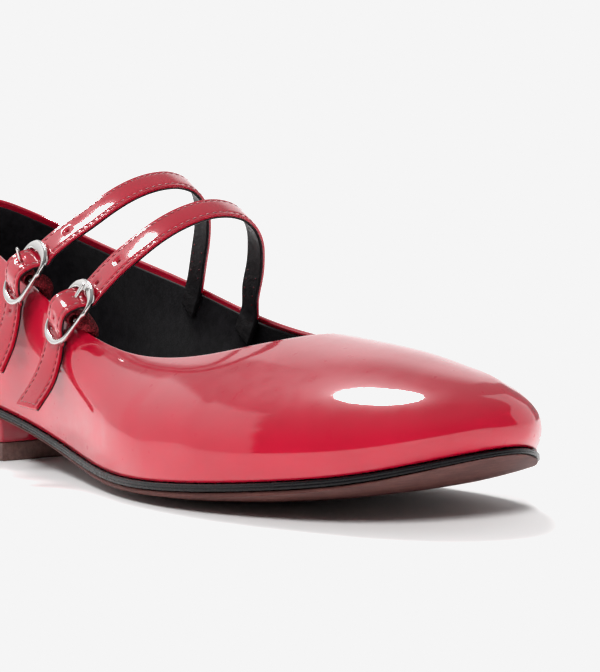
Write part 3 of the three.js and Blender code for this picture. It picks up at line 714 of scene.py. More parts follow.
def heel_block():
    """The covered block, from under the edge layer down to the lift."""
    places = heel_places()
    downs = np.linspace(0, 1, 14)
    bottom = LIFT_HEIGHT + SEAT_GAP
    sides = []
    for towards in (places, ROW_COUNT - places):
        levels = []
        for down in downs:
            inset = HEEL_TOP_INSET + HEEL_TAPER * down + HEEL_WAIST * math.sin(math.pi * down)
            length = feather_out(towards, 0)[:, 0]
            near_breast = smooth_step(length, HEEL_BREAST - CORNER_LENGTH, HEEL_BREAST)
            points = feather_out(towards, BAND_OVERHANG - inset - CORNER_TURN * near_breast**3)
            points[:, 0] = np.minimum(points[:, 0], HEEL_BREAST)
            top = points[:, 2] - by_row("band", places) - SEAT_GAP
            points[:, 2] = top + (bottom - top) * down
            levels.append(points)
        sides.append(np.stack(levels, axis=1))
    return slab("heel_cover", sides[0][:, ::-1], sides[1][:, ::-1], [heel_patent_painted_shade])


def top_lift():
    """The lift, with its lower edge rounded and a fine bead at its top."""
    places = heel_places()
    inset = HEEL_TOP_INSET + HEEL_TAPER
    sides = []
    for towards in (places, ROW_COUNT - places):
        levels = []
        for more, z in LIFT_PROFILE:
            points = feather_out(towards, BAND_OVERHANG - inset - more)
            points[:, 0] = np.minimum(points[:, 0], HEEL_BREAST)
            points[:, 2] = z
            levels.append(points)
        sides.append(np.stack(levels, axis=1))
    return slab("heel_lift", sides[0], sides[1], [lift_brown])


lift_brown = grained_finish(
    "lift_brown", (0.1, 0.045, 0.038), 0.6, (700, 5, 0.7),
    ((0.35, (0.12, 0.055, 0.046)), (0.7, (0.22, 0.115, 0.097))), 0.0003, 0.4,
)
# The cover's red is a darker, less glossy copy of the upper's patent: painted shade for the heel's place
# under the shoe.
heel_patent_painted_shade = patent_finish("heel_patent_painted_shade", (0.42, 0.004, 0.024), (0.34, 0.003, 0.018), coat=0.55)
heel_piece = heel_block()
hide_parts("heel_block")
lift_piece = top_lift()
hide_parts("heel_top_lift")


# Straps: red patent on top, its edges turned down over a black lining, sewn all round in red thread.
# Each arches over the instep and passes through its buckle. The real roots are sewn under the medial
# lining, and here their last 8 mm hang in front of it, black on both sides.
STRAPS = (
    {
        "name": "front",
        "station": 46.2,
        "rise": 40.7,
        "arch": (
            (7.4, 21.5), (9.3, 46), (11.6, 61.5), (14.7, 75.5), (20.4, 88.6), (28, 97.2), (36.1, 100),
            (45.1, 98.5), (53.7, 93), (62.3, 84.3), (70.9, 72), (79.6, 55.5), (87.5, 38.5),
        ),
        "buckle": (105.1, -6.2, 23.5),
        "tail": ((1, 8, 25), (2, 21, 54), (2, 47, 89)),
        "pin": ((-21.5, 5.6), (-45.4, 9.3)),
    },
    {
        "name": "rear",
        "station": 35,
        "rise": 42.9,
        "arch": (
            (6.8, 30), (9.3, 54), (13, 73.5), (18.5, 87.5), (26, 96.7), (35.6, 100),
            (45.3, 97.6), (54.1, 92), (62.2, 84), (70.4, 73), (79.5, 58.5), (88.7, 44.5),
        ),
        "buckle": (106.9, 5.7, 20),
        "tail": ((1, 6, 25), (2, 17, 58), (2, 37, 98)),
        "pin": ((-11.7, 14.1), (-28.3, 33.7)),
    },
)
STRAP_WIDTH = 9.4
STRAP_THICKNESS = 1.6
STRAP_LEAN = 27
STRAP_SWING = 9
ROOT_DEPTH = 8
ROOT_ACROSS = -2.2
TAIL_LENGTH = 20.5
TAIL_LEAN = 2
TAIL_SWING = -9
HOLE_PITCH = 8.5
HOLES_EACH_WAY = 2
HOLE_RADIUS = 0.72
BUCKLE_LENGTH = 20.5
BUCKLE_WIDTH = 13.6
BUCKLE_THICKNESS = 1.6
BUCKLE_UPPER_END = 3.6
BUCKLE_LOWER_END = 1.9
BAR_WIDTH = 1.6
ELASTIC_PLY = 1.1
PASS_CLEARANCE = 0.45
EYE_INNER = math.hypot(BAR_WIDTH, BUCKLE_THICKNESS) / 2 + 0.2
EYE_OUTER = EYE_INNER + ELASTIC_PLY
STRAP_OVER = EYE_OUTER + PASS_CLEARANCE + STRAP_THICKNESS / 2
STRAP_UNDER = -(BUCKLE_THICKNESS / 2 + PASS_CLEARANCE + STRAP_THICKNESS / 2)


def wide_way(lean, swing):
    """Direction across a strap from its lean to the toe and its swing outward, in degrees."""
    dip, turn = math.radians(lean), math.radians(swing)
    return np.array([
        math.cos(dip) * math.cos(turn), -math.cos(dip) * math.sin(turn), -math.sin(dip),
    ])


def topline_place(station):
    """Place on the medial topline at a percent of the foot's length."""
    return place_reaching(station / 100 * FOOT_LENGTH, np.linspace(TIP_ROW, ROW_COUNT, 1401), 1.0)


class StrapPlace:
    """Where one strap lies: its leaning plane, and its buckle's centre and directions in it."""

    def __init__(self, strap):
        self.strap = strap
        self.wide = wide_way(STRAP_LEAN, STRAP_SWING)
        self.across = unit(np.array([0, 1, 0]) - self.wide * self.wide[1])
        self.up = np.cross(self.wide, self.across)
        self.origin = wall_points([topline_place(strap["station"])], [1.0])[0, 0]
        tries = np.linspace(0, TIP_ROW, 1401)
        near = wall_points(tries, [1.0])[:, 0]
        lateral = near[int(np.argmin(np.abs((near - self.origin) @ self.wide)))]
        self.lateral = np.array([(lateral - self.origin) @ self.across, (lateral - self.origin) @ self.up])
        self.span = self.origin[1] - lateral[1]
        self.rise = strap["rise"] / 100 * BACK_HEIGHT
        across, up, lean = strap["buckle"]
        self.centre = np.array([-across / 100 * self.span, up / 100 * self.rise])
        lean = math.radians(lean)
        self.along = np.array([-math.sin(lean), -math.cos(lean)])
        self.out = np.array([-math.cos(lean), math.sin(lean)])

    def stand(self, flat):
        flat = np.asarray(flat, float)
        return self.origin + flat[..., :1] * self.across + flat[..., 1:] * self.up

    def at(self, down, out):
        """A point of the strap plane by the buckle: down along the strap, and out from the foot."""
        return self.centre + self.along * down + self.out * out

    def on_buckle(self, down, out):
        return self.stand(self.at(down, out))

    def way(self, flat):
        return flat[0] * self.across + flat[1] * self.up


def smooth_path(points, steps=40):
    """Centripetal spline through points, as a fine list of points."""
    points = np.asarray(points, float)
    ends = np.concatenate([[2 * points[0] - points[1]], points, [2 * points[-1] - points[-2]]])
    path = []
    for before, start, end, after in zip(ends, ends[1:], ends[2:], ends[3:]):
        first, gap, last = [math.sqrt(np.linalg.norm(b - a))
                            for a, b in ((before, start), (start, end), (end, after))]
        leave = (start - before) / first - (end - before) / (first + gap) + (end - start) / gap
        reach = (end - start) / gap - (after - start) / (gap + last) + (after - end) / last
        leave, reach = leave * gap, reach * gap
        t = np.linspace(0, 1, steps, endpoint=False)[:, None]
        path.append(
            start + leave * t + (3 * (end - start) - 2 * leave - reach) * t**2
            + (2 * (start - end) + leave + reach) * t**3
        )
    return np.concatenate([*path, points[-1:]])


def path_lengths(path):
    """Length along a path up to each of its points."""
    return np.concatenate([[0], np.cumsum(np.linalg.norm(np.diff(path, axis=0), axis=1))])


def strap_path(place):
    """The strap's middle line: root, arch, under and over the buckle's ends and bar, and tail."""
    end = BUCKLE_LENGTH / 2
    flat = [(ROOT_ACROSS, -ROOT_DEPTH), (ROOT_ACROSS, -ROOT_DEPTH / 2), (ROOT_ACROSS, 0)]
    flat += [(-across / 100 * place.span, up / 100 * place.rise) for across, up in place.strap["arch"]]
    flat += [
        place.at(-end + BUCKLE_UPPER_END * 0.4, STRAP_UNDER),
        place.at(-end + BUCKLE_UPPER_END + 0.2, STRAP_UNDER + 0.1),
        place.at(-end * 0.36, STRAP_OVER * 0.48),
        place.at(0, STRAP_OVER),
        place.at(end * 0.42, STRAP_OVER * 0.5),
        place.at(end - BUCKLE_LOWER_END - 0.4, STRAP_UNDER + 0.1),
        place.at(end - BUCKLE_LOWER_END / 2, STRAP_UNDER),
    ]
    points = place.stand(np.array(flat))
    tail = [points[-1] + np.array([ahead, -out, -down]) * TAIL_LENGTH / 100
            for ahead, out, down in place.strap["tail"]]
    return smooth_path(np.concatenate([points, tail]))


SLOPE_STEP = 0.3


class StrapRun:
    """The strap's middle line by length, with the directions across it and out of its face."""

    def __init__(self, place):
        self.place = place
        self.path = strap_path(place)
        self.lengths = path_lengths(self.path)
        self.length = self.lengths[-1]
        self.tail_from = self.nearest(place.on_buckle(BUCKLE_LENGTH / 2, STRAP_UNDER))
        through = np.array(place.strap["pin"][0]) / 100 * BUCKLE_LENGTH
        self.pin_hole = self.nearest(place.on_buckle(*through))

    def nearest(self, point):
        return self.lengths[int(np.argmin(np.linalg.norm(self.path - point, axis=1)))]

    def point(self, along):
        return np.stack([np.interp(along, self.lengths, self.path[:, k]) for k in range(3)], axis=-1)

    def frame(self, along):
        along = np.asarray(along, float)
        middle = self.point(along)
        ahead = self.point(np.minimum(along + SLOPE_STEP, self.length))
        tangent = unit(ahead - self.point(np.maximum(along - SLOPE_STEP, 0)))
        turned = smooth_step(along, self.tail_from, self.length)[..., None]
        wide = self.place.wide * (1 - turned) + wide_way(TAIL_LEAN, TAIL_SWING) * turned
        face = unit(np.cross(tangent, wide))
        return middle, np.cross(face, tangent), face


GRID = 0.447
FLAT_HALF = 4.3
STITCH_IN = 1.25
EDGE_PROFILE = np.array([
    (4.5, 0.74), (4.64, 0.56), (4.7, 0.3), (4.7, 0.0), (4.69, -0.25), (4.6, -0.52), (4.46, -0.72),
])
END_STEPS = np.array([0, 0.12, 0.4])
END_THIN = np.array([0.5, 0.82, 0.97])
END_NARROW = np.array([0.35, 0.1])
PLAIN_ENDS = 0.9
FAR_OFF = 9.0
DOME = 0.16
STITCH_GROOVE = (0.14, 0.28)
HOLE_RING = (0.26, 1.22, 0.22)
HOLE_BRIM = (0.12, 0.2)
HOLE_CELLS = 2
HOLE_BLEND = 6
RED_BESIDE = 3


def strap_face(across, beside_hole):
    """Height of the strap's top: a low dome, a groove for each stitch row and a pressed ring by a hole."""
    depth, half = STITCH_GROOVE
    ring_depth, ring_radius, ring_half = HOLE_RING
    brim_depth, brim_half = HOLE_BRIM
    dome = DOME * (1 - (across / FLAT_HALF) ** 2)
    rows = depth * np.exp(-(((np.abs(across) - (STRAP_WIDTH / 2 - STITCH_IN)) / half) ** 2))
    ring = ring_depth * np.exp(-(((beside_hole - ring_radius) / ring_half) ** 2))
    brim = brim_depth * np.exp(-(((beside_hole - HOLE_RADIUS) / brim_half) ** 2))
    return STRAP_THICKNESS / 2 - 0.1 + dome - rows - ring - brim


def make_strap(run):
    """One strap as a closed strip with square holes rounded to circles, red above and black below."""
    name = run.place.strap["name"]
    count_back = int(run.pin_hole / GRID)
    count_on = int((run.length - run.pin_hole) / GRID)
    along = run.pin_hole + GRID * np.arange(-count_back, count_on + 1)
    along = along[(along > PLAIN_ENDS) & (along < run.length - PLAIN_ENDS)]
    along = np.concatenate([END_STEPS, along, run.length - END_STEPS[::-1]])
    thin = np.ones(len(along))
    thin[:3] = END_THIN
    thin[-3:] = END_THIN[::-1]
    narrow = np.zeros(len(along))
    narrow[:2] = END_NARROW
    narrow[-2:] = END_NARROW[::-1]
    columns = np.linspace(-FLAT_HALF, FLAT_HALF, 21)
    s, t = np.meshgrid(along, columns, indexing="ij")
    holes = [run.pin_hole + k * HOLE_PITCH for k in range(-HOLES_EACH_WAY, HOLES_EACH_WAY + 1)]
    holes = [hole for hole in holes if hole < run.length - 2]
    beside = np.full(s.shape, FAR_OFF)
    open_faces = np.zeros((len(along), len(columns)), bool)
    step = columns[1] - columns[0]
    for hole in holes:
        ds, dt = s - hole, t.copy()
        square = np.maximum(np.abs(ds) / GRID, np.abs(dt) / step)
        radius = np.hypot(ds, dt)
        round_to = HOLE_RADIUS * square / HOLE_CELLS
        blend = np.clip(1 - (square - HOLE_CELLS) / (HOLE_BLEND - HOLE_CELLS), 0, 1)
        wanted = np.where(square > 0.01, round_to, 0)
        scale = np.where(radius > 0.01, wanted / np.maximum(radius, 0.01), 1)
        near = square < HOLE_BLEND
        s = np.where(near, hole + ds * (1 + (scale - 1) * blend), s)
        t = np.where(near, dt * (1 + (scale - 1) * blend), t)
        beside = np.minimum(beside, np.hypot(s - hole, t))
        cell_s = (along[:-1] + along[1:]) / 2 - hole
        cell_t = (columns[:-1] + columns[1:]) / 2
        inside_s = np.abs(cell_s)[:, None] < HOLE_CELLS * GRID
        inside_t = np.abs(cell_t)[None, :] < HOLE_CELLS * step
        open_faces[:-1, :-1] |= inside_s & inside_t
    t = t * (1 - narrow[:, None] / FLAT_HALF)
    top = strap_face(t, beside) * thin[:, None]
    under = -(STRAP_THICKNESS / 2 - 0.06) * thin[:, None] * np.ones_like(top)
    edge_t, edge_n = EDGE_PROFILE.T
    ones = np.ones((len(along), 1))
    edge_s = along[:, None] * np.ones((1, len(edge_t)))
    ring_s = np.concatenate([s, edge_s, s[:, ::-1], edge_s], axis=1)
    ring_t = np.concatenate([t, ones * edge_t - narrow[:, None], t[:, ::-1],
                             -(ones * edge_t[::-1] - narrow[:, None])], axis=1)
    ring_n = np.concatenate([top, ones * edge_n * thin[:, None], under,
                             ones * edge_n[::-1] * thin[:, None]], axis=1)
    middle, wide, face = run.frame(ring_s.ravel())
    points = middle + wide * ring_t.ravel()[:, None] + face * ring_n.ravel()[:, None]
    width = ring_s.shape[1]
    faces = grid_faces(len(along), width)
    columns_count = len(columns)
    edge_count = len(edge_t)
    under_from = columns_count + edge_count
    under_to = under_from + columns_count - 1

    def below(row, column):
        return row * width + under_to - column

    keep, finish = [], []
    for index, face_corners in enumerate(faces):
        row, column = divmod(index, width)
        if column < columns_count - 1 and open_faces[row, column]:
            continue
        if under_from <= column < under_to and open_faces[row, under_to - 1 - column]:
            continue
        keep.append(list(face_corners))
        on_red = column < columns_count + RED_BESIDE or column >= width - 1 - RED_BESIDE
        on_red = on_red and along[row] > ROOT_DEPTH + 0.5
        finish.append(0 if on_red else 1)
    for row in range(len(along) - 1):
        for column in range(columns_count - 1):
            if not open_faces[row, column]:
                continue
            corners = ((row, column), (row, column + 1), (row + 1, column + 1), (row + 1, column))
            beyond = ((row - 1, column), (row, column + 1), (row + 1, column), (row, column - 1))
            for k, (next_row, next_column) in enumerate(beyond):
                if open_faces[next_row, next_column]:
                    continue
                (r1, c1), (r2, c2) = corners[k], corners[(k + 1) % 4]
                keep.append([r1 * width + c1, r2 * width + c2, below(r2, c2), below(r1, c1)])
                finish.append(0)
    for row, turned in ((0, True), (len(along) - 1, False)):
        base = row * width
        for k in range(columns_count - 1):
            face_corners = [base + k, base + k + 1, below(row, k + 1), below(row, k)]
            keep.append(face_corners if turned else face_corners[::-1])
            finish.append(0)
        right = [base + columns_count - 1 + k for k in range(edge_count + 2)]
        left = [base + under_to + k for k in range(edge_count + 1)] + [base]
        for rim in (right, left):
            keep.append(rim if turned else rim[::-1])
            finish.append(0)
    return make_mesh(f"strap_{name}_sewn", points, keep, [strap_patent, strap_lining], finish)


STITCH_LENGTH = 1.45
STITCH_PITCH = 2.0
STITCH_RADIUS = 0.17
STITCH_PROFILE = ((0, 0.25), (0.12, 0.85), (0.5, 1.0), (0.88, 0.85), (1, 0.25))
ROOT_STITCHES = (12.5, 15.4, 18.3, 21.2)
ROOT_STITCH_ACROSS = 2.7
ROOT_STITCH_LENGTH = 0.5


def turns(count):
    """Even angles once round."""
    return np.linspace(0, 2 * math.pi, count, endpoint=False)


def tube_faces(rows, around):
    """Quads of a tube of rings, and one face over each end."""
    faces = grid_faces(rows, around).tolist()
    faces.append(list(range(around))[::-1])
    faces.append([(rows - 1) * around + k for k in range(around)])
    return faces


def sewn_thread(name, ends, finish):
    """One mesh of short rounded stitches, each from one point to another."""
    points, faces = [], []
    around = turns(6)
    tube = tube_faces(len(STITCH_PROFILE), len(around))
    for start, end, face in ends:
        way = unit(end - start)
        side = np.cross(way, face)
        base = len(points)
        for share, size in STITCH_PROFILE:
            sunk = STITCH_RADIUS * 0.6 * abs(2 * share - 1) ** 3
            centre = start + (end - start) * share - face * sunk
            for angle in around:
                ring = side * math.cos(angle) + face * math.sin(angle)
                points.append(centre + ring * STITCH_RADIUS * size)
        faces += [[base + corner for corner in corners] for corners in tube]
    return make_mesh(name, np.array(points), faces, [finish])


def strap_stitches(run):
    """Both long rows, the row across the tail's end, and the pinpricks where the root is sewn in."""
    ends = []
    beside = STRAP_WIDTH / 2 - STITCH_IN
    height = float(strap_face(np.array(beside), np.array(FAR_OFF))) + 0.1
    for side in (-1, 1):
        for start in np.arange(1.6, run.length - STITCH_IN - 0.6, STITCH_PITCH):
            pair = []
            for along in (start, min(start + STITCH_LENGTH, run.length - STITCH_IN)):
                middle, wide, face = run.frame(np.array([along]))
                pair.append((middle + wide * beside * side + face * height)[0])
            ends.append((pair[0], pair[1], face[0]))
    middle, wide, face = run.frame(np.array([run.length - STITCH_IN]))
    for start in np.linspace(-beside, beside - STITCH_LENGTH, 4):
        pair = []
        for t in (start, start + STITCH_LENGTH):
            lift = float(strap_face(np.array(t), np.array(FAR_OFF))) + 0.04
            pair.append((middle + wide * t + face * lift)[0])
        ends.append((pair[0], pair[1], face[0]))
    for along in ROOT_STITCHES:
        for side in (-1, 1):
            pair = []
            for step in (along, along + ROOT_STITCH_LENGTH):
                middle, wide, face = run.frame(np.array([step]))
                out = wide * ROOT_STITCH_ACROSS * side
                pair.append((middle + out - face * (STRAP_THICKNESS / 2 - 0.02))[0])
            ends.append((pair[0], pair[1], -face[0]))
    return sewn_thread(f"strap_{run.place.strap['name']}_stitches", ends, red_thread)


red_thread = grained_finish(
    "red_thread", (0.33, 0.008, 0.02), 0.55, (2200, 2),
    ((0.3, (0.2, 0.004, 0.012)), (0.75, (0.45, 0.02, 0.04))), 0.0001, 0.5,
)
# Thin lining leather, a little crinkled
strap_lining = grained_finish(
    "strap_lining", (0.01, 0.0088, 0.0105), 0.42, (330, 4, 0.6, (1.0, 1.0, 2.2)),
    ((0.35, (0.007, 0.006, 0.0075)), (0.75, (0.026, 0.023, 0.026))), 0.0004, 0.5,
)
strap_patent = patent_finish(
    "strap_patent", (0.6, 0.006, 0.032), (0.5, 0.005, 0.026), pebble=0.00003, coat_roughness=0.085,
)
strap_runs = [StrapRun(StrapPlace(strap)) for strap in STRAPS]
for run in strap_runs:
    strap_piece = make_strap(run)
    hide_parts(f"strap_{run.place.strap['name']}")
    strap_stitches(run)


# Buckles: cast and polished frames in silver plate, with a wide rounded upper end, small ears where the
# thin sides begin, and a straight bar across the middle. Each has a loose pin round its bar.
BUCKLE_SIDE_TOP = 4.2
EAR_AT = 3.3
EAR_SIZE = 0.22
EAR_STEP = 0.34
NOTCH_DEPTH = 0.42
NOTCH_HALF = 0.75
INNER_HALF = 5.3
UPPER_SLOT_TOP = 6.8
LOWER_SLOT_END = 8.35
FRAME_SECTION = 12
FRAME_BLUNT = 0.75


def rounded_end(half, rise, power, count):
    """Outline of a rounded end, from its right side over the middle to its left side."""
    angles = np.linspace(0, math.pi, count)
    x = half * np.sign(np.cos(angles)) * np.abs(np.cos(angles)) ** (2 / power)
    return np.stack([x, rise * np.sin(angles) ** (2 / power)], axis=1)


def frame_outlines():
    """The frame's outer and inner outlines, matched point by point: right side, top, left side, bottom."""
    end = BUCKLE_LENGTH / 2
    half = BUCKLE_WIDTH / 2
    sides = np.linspace(-BUCKLE_SIDE_TOP, BUCKLE_SIDE_TOP, 30)[1:-1]
    step = half - EAR_STEP + EAR_STEP * smooth_step(sides, EAR_AT - 1.1, EAR_AT - 0.6)
    ear = EAR_SIZE * np.exp(-(((sides - EAR_AT) / 0.45) ** 2))
    right_outer = np.stack([step + ear, sides], axis=1)
    right_inner = np.stack([np.full(len(sides), INNER_HALF), sides], axis=1)
    top_outer = rounded_end(half, end - BUCKLE_SIDE_TOP, 2.15, 44) + [0, BUCKLE_SIDE_TOP]
    top_inner = rounded_end(INNER_HALF, UPPER_SLOT_TOP - BUCKLE_SIDE_TOP, 2.9, 44) + [0, BUCKLE_SIDE_TOP]
    top_inner[:, 1] += NOTCH_DEPTH * np.exp(-((top_inner[:, 0] / NOTCH_HALF) ** 4))
    low_outer = rounded_end(half - EAR_STEP, end - BUCKLE_SIDE_TOP, 2.2, 36) * [-1, -1] - [0, BUCKLE_SIDE_TOP]
    low_inner = rounded_end(INNER_HALF, LOWER_SLOT_END - BUCKLE_SIDE_TOP, 2.5, 36) * [-1, -1]
    low_inner = low_inner - [0, BUCKLE_SIDE_TOP]
    outer = np.concatenate([right_outer, top_outer, right_outer[::-1] * [-1, 1], low_outer])
    inner = np.concatenate([right_inner, top_inner, right_inner[::-1] * [-1, 1], low_inner])
    return outer, inner


def blunt(value, power):
    """A sine or cosine pushed outward, so that a round section gets flatter sides."""
    return math.copysign(abs(value) ** power, value)


def make_buckle(place):
    """The frame with its rounded section, and the bar across it."""
    outer, inner = frame_outlines()
    upward = -place.way(place.along)
    outward = place.way(place.out)
    middle = place.stand(place.centre)
    mid, half = (outer + inner) / 2, (outer - inner) / 2
    rings = []
    for angle in turns(FRAME_SECTION) + math.pi / FRAME_SECTION:
        flat = mid + half * blunt(math.cos(angle), FRAME_BLUNT)
        lift = BUCKLE_THICKNESS / 2 * blunt(math.sin(angle), FRAME_BLUNT)
        rings.append(middle + flat[:, :1] * place.wide + flat[:, 1:] * upward + outward * lift)
    faces = grid_faces(len(rings), len(outer), wrap_rows=True).tolist()
    points = np.concatenate(rings)
    bar, bar_faces = bar_between(middle, place.wide, upward, outward)
    faces += [[corner + len(points) for corner in face] for face in bar_faces]
    points = np.concatenate([points, bar])
    return make_mesh(f"buckle_{place.strap['name']}_cast", points, faces, [silver])


def bar_between(middle, wide, upward, outward):
    """Round bar across the frame, its ends run into the sides."""
    reach = INNER_HALF + 0.5
    stops = np.linspace(-reach, reach, 9)
    angles = turns(14)
    points = [middle + wide * x + (upward * math.cos(a) + outward * math.sin(a)) * BAR_WIDTH * 0.48
              for x in stops for a in angles]
    return np.array(points), tube_faces(len(stops), len(angles))


def silver_finish():
    """Polished silver plate, slightly uneven from casting."""
    material, shader = finish_of("silver_plate", (0.6, 0.585, 0.575), 0.14, Metallic=1.0)
    set_by(material, ramp(material, grain(material, 320, 4), ((0.3, 0.08), (0.8, 0.22))), shader, "Roughness")
    soft = raised(material, grain(material, 260, 2), 0.00035, 0.35)
    set_by(material, raised(material, grain(material, 1800, 3), 0.00005, 0.3, soft), shader, "Normal")
    return material


PIN_WIDTH = 1.4
PIN_THICKNESS = 1.1
PIN_STEPS = 68
PIN_EYE_TURN = (-160, 150)
PIN_TAPER = 5


def swept_bar(path, wide, sizes, finish, name, around=14, square=0.62):
    """A bar along a path with a rounded section, each step with its own width and thickness."""
    tangent = unit(np.gradient(path, axis=0))
    face = unit(np.cross(tangent, wide))
    across = np.cross(face, tangent)
    points = []
    for centre, out, side, (width, thickness) in zip(path, face, across, sizes):
        for angle in turns(around):
            points.append(centre + side * width / 2 * blunt(math.cos(angle), square)
                          + out * thickness / 2 * blunt(math.sin(angle), square))
    return make_mesh(name, np.array(points), tube_faces(len(path), around), [finish])


def make_pin(place):
    """The pin: an eye bent round the bar, and a prong up through the strap's hole to a flat blunt tip."""
    turn = np.linspace(*np.radians(PIN_EYE_TURN), 26)
    radius = EYE_INNER + PIN_THICKNESS / 2 - 0.12
    eye = [place.centre - radius * (place.along * math.cos(a) + place.out * math.sin(a))
           for a in turn[::-1]]
    through, tip = [place.at(*(np.array(pair) / 100 * BUCKLE_LENGTH)) for pair in place.strap["pin"]]
    start = place.at(-radius - 0.3, 0.35)
    prong = smooth_path([start, (start + through) / 2, through, tip], 12)
    eye = np.array([point for point in eye if (point - start) @ -place.along < 0.35])
    path = np.concatenate([eye, prong[1:]])
    lengths = path_lengths(path)
    even = np.linspace(0, lengths[-1], PIN_STEPS)
    path = np.stack([np.interp(even, lengths, path[:, k]) for k in range(2)], axis=1)
    for _ in range(3):
        path[1:-1] = (path[:-2] + 2 * path[1:-1] + path[2:]) / 4
    left = lengths[-1] - even
    taper = smooth_step(left, 0, PIN_TAPER)
    sizes = np.stack([PIN_WIDTH * (0.96 + 0.04 * taper), PIN_THICKNESS * (0.72 + 0.28 * taper)], axis=1)
    sizes[-1] *= 0.55
    sizes[-2] *= 0.85
    return swept_bar(place.stand(path), place.wide, sizes, silver, f"pin_{place.strap['name']}_prong")


silver = silver_finish()
for run in strap_runs:
    name = run.place.strap["name"]
    buckle_piece = make_buckle(run.place)
    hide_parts(f"buckle_{name}")
    pin_piece = make_pin(run.place)
    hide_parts(f"pin_{name}")


# Elastics: dark red ribbed elastic, folded over the buckle's bar and sewn to itself inside the topline.
# The folded loop is soft, so it bulges past the buckle on its front side.
UPPER_WALL = 2
ELASTIC_WIDTH = 9
ELASTIC_DEPTH = 9
ELASTIC_RIBS = 9
RIB_DEPTH = 0.3
ELASTIC_BELLY = {"front": (6.0, 1.9), "rear": (1.7, 2.5)}
BELLY_SWELLS = (0.08, 0.34)
BELLY_ENDS = (0.56, 0.84)
BELLY_PUFF = 0.45
TWO_PLIES = 2 * ELASTIC_PLY * 0.62
ONE_PLY = ELASTIC_PLY * 0.5
FOLD_TURN = (80, 400)


def elastic_path(place):
    """The middle line of the two plies, up from inside the topline to the bar."""
    thickness = 2 * ELASTIC_PLY
    root = place.lateral[0] + UPPER_WALL + PASS_CLEARANCE + thickness / 2
    top = place.lateral[1]
    eye = place.at(0.4, -EYE_INNER - ELASTIC_PLY / 2)

    def over(inward, up):
        return np.array([eye[0] + (root - eye[0]) * inward, top + (eye[1] - top) * up])

    low = np.array([root, top - ELASTIC_DEPTH])
    raised_low = low + [0, ELASTIC_DEPTH / 2]
    return smooth_path([low, raised_low, over(1, 0), over(0.88, 0.62), over(0.5, 0.98), eye], 14)


def make_elastic(place):
    """Two plies of ribbed elastic up from the topline, and the fold of one ply round the bar."""
    name = place.strap["name"]
    path = elastic_path(place)
    turn = np.linspace(*np.radians(FOLD_TURN), 30)
    radius = EYE_INNER + ELASTIC_PLY / 2
    fold = np.array([place.centre + radius * (place.along * math.cos(a) - place.out * math.sin(a))
                     for a in turn])
    middle = np.concatenate([path, fold])
    share = np.linspace(0, 1, len(middle))
    on_fold = smooth_step(np.arange(len(middle)), len(path) - 3, len(path) + 2)
    thick = TWO_PLIES * (1 - on_fold) + ONE_PLY * on_fold
    belly = smooth_step(share, *BELLY_SWELLS) * (1 - smooth_step(share, *BELLY_ENDS))
    wide_half, ahead = ELASTIC_BELLY[name]
    half = ELASTIC_WIDTH / 2 + (wide_half - ELASTIC_WIDTH / 2) * belly
    tangent = unit(np.gradient(middle, axis=0))
    normal = np.stack([-tangent[:, 1], tangent[:, 0]], axis=1)
    columns = np.linspace(-1, 1, 4 * ELASTIC_RIBS + 1)
    rib = RIB_DEPTH * np.cos(columns * math.pi * ELASTIC_RIBS)
    round_off = np.sqrt(np.clip(1 - np.abs(columns) ** 6, 0, 1))
    points = []
    for k in range(len(middle)):
        centre, out = place.stand(middle[k]), place.way(normal[k])
        puff = 1 + BELLY_PUFF * belly[k] * (1 - columns**2)
        offset = (thick[k] * puff - RIB_DEPTH + rib) * round_off
        across = columns * half[k] + ahead * belly[k]
        upper = [centre + place.wide * x + out * n for x, n in zip(across, offset)]
        under = [centre + place.wide * x - out * n for x, n in zip(across[::-1], offset[::-1])]
        points += upper + under[1:-1]
    width = 2 * len(columns) - 2
    faces = tube_faces(len(middle), width)
    return make_mesh(f"elastic_{name}_loop", np.array(points), faces, [elastic_red_painted_light])


# Its colour follows the same noise as its relief: the elastic's dark red, with painted shade in the weave's
# hollows and painted highlights on its raised threads.
elastic_red_painted_light = grained_finish(
    "elastic_red_painted_light", (0.2, 0.008, 0.016), 0.6, (1900, 3, 0.6),
    ((0.35, (0.05, 0.002, 0.004)), (0.52, (0.24, 0.009, 0.018)), (0.7, (0.6, 0.05, 0.07))), 0.0007, 1.0,
    Specular_IOR_Level=0.2,
)
for run in strap_runs:
    elastic_piece = make_elastic(run.place)
    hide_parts(f"elastic_{run.place.strap['name']}")


# Studio: a pale seamless sweep under the shoe, with a cloth tent round it and a softbox overhead.
# The tent is white on three sides and dark on the camera's side, so that the patent shows clear shapes.
PALE = 1.4
PHOTO_WHITE = 0.913
FLOOR_HALF = 3.0
FLOOR_DROP = 0.0001
SWEEP_NEAR = 0.35
SWEEP_FAR = 0.9
TENT_RADIUS = 1.6
TENT_BEHIND = 141.7
TENT_DIM = 0.12
DIM_OVERHEAD = 0.3
DIM_BEHIND = 0.14
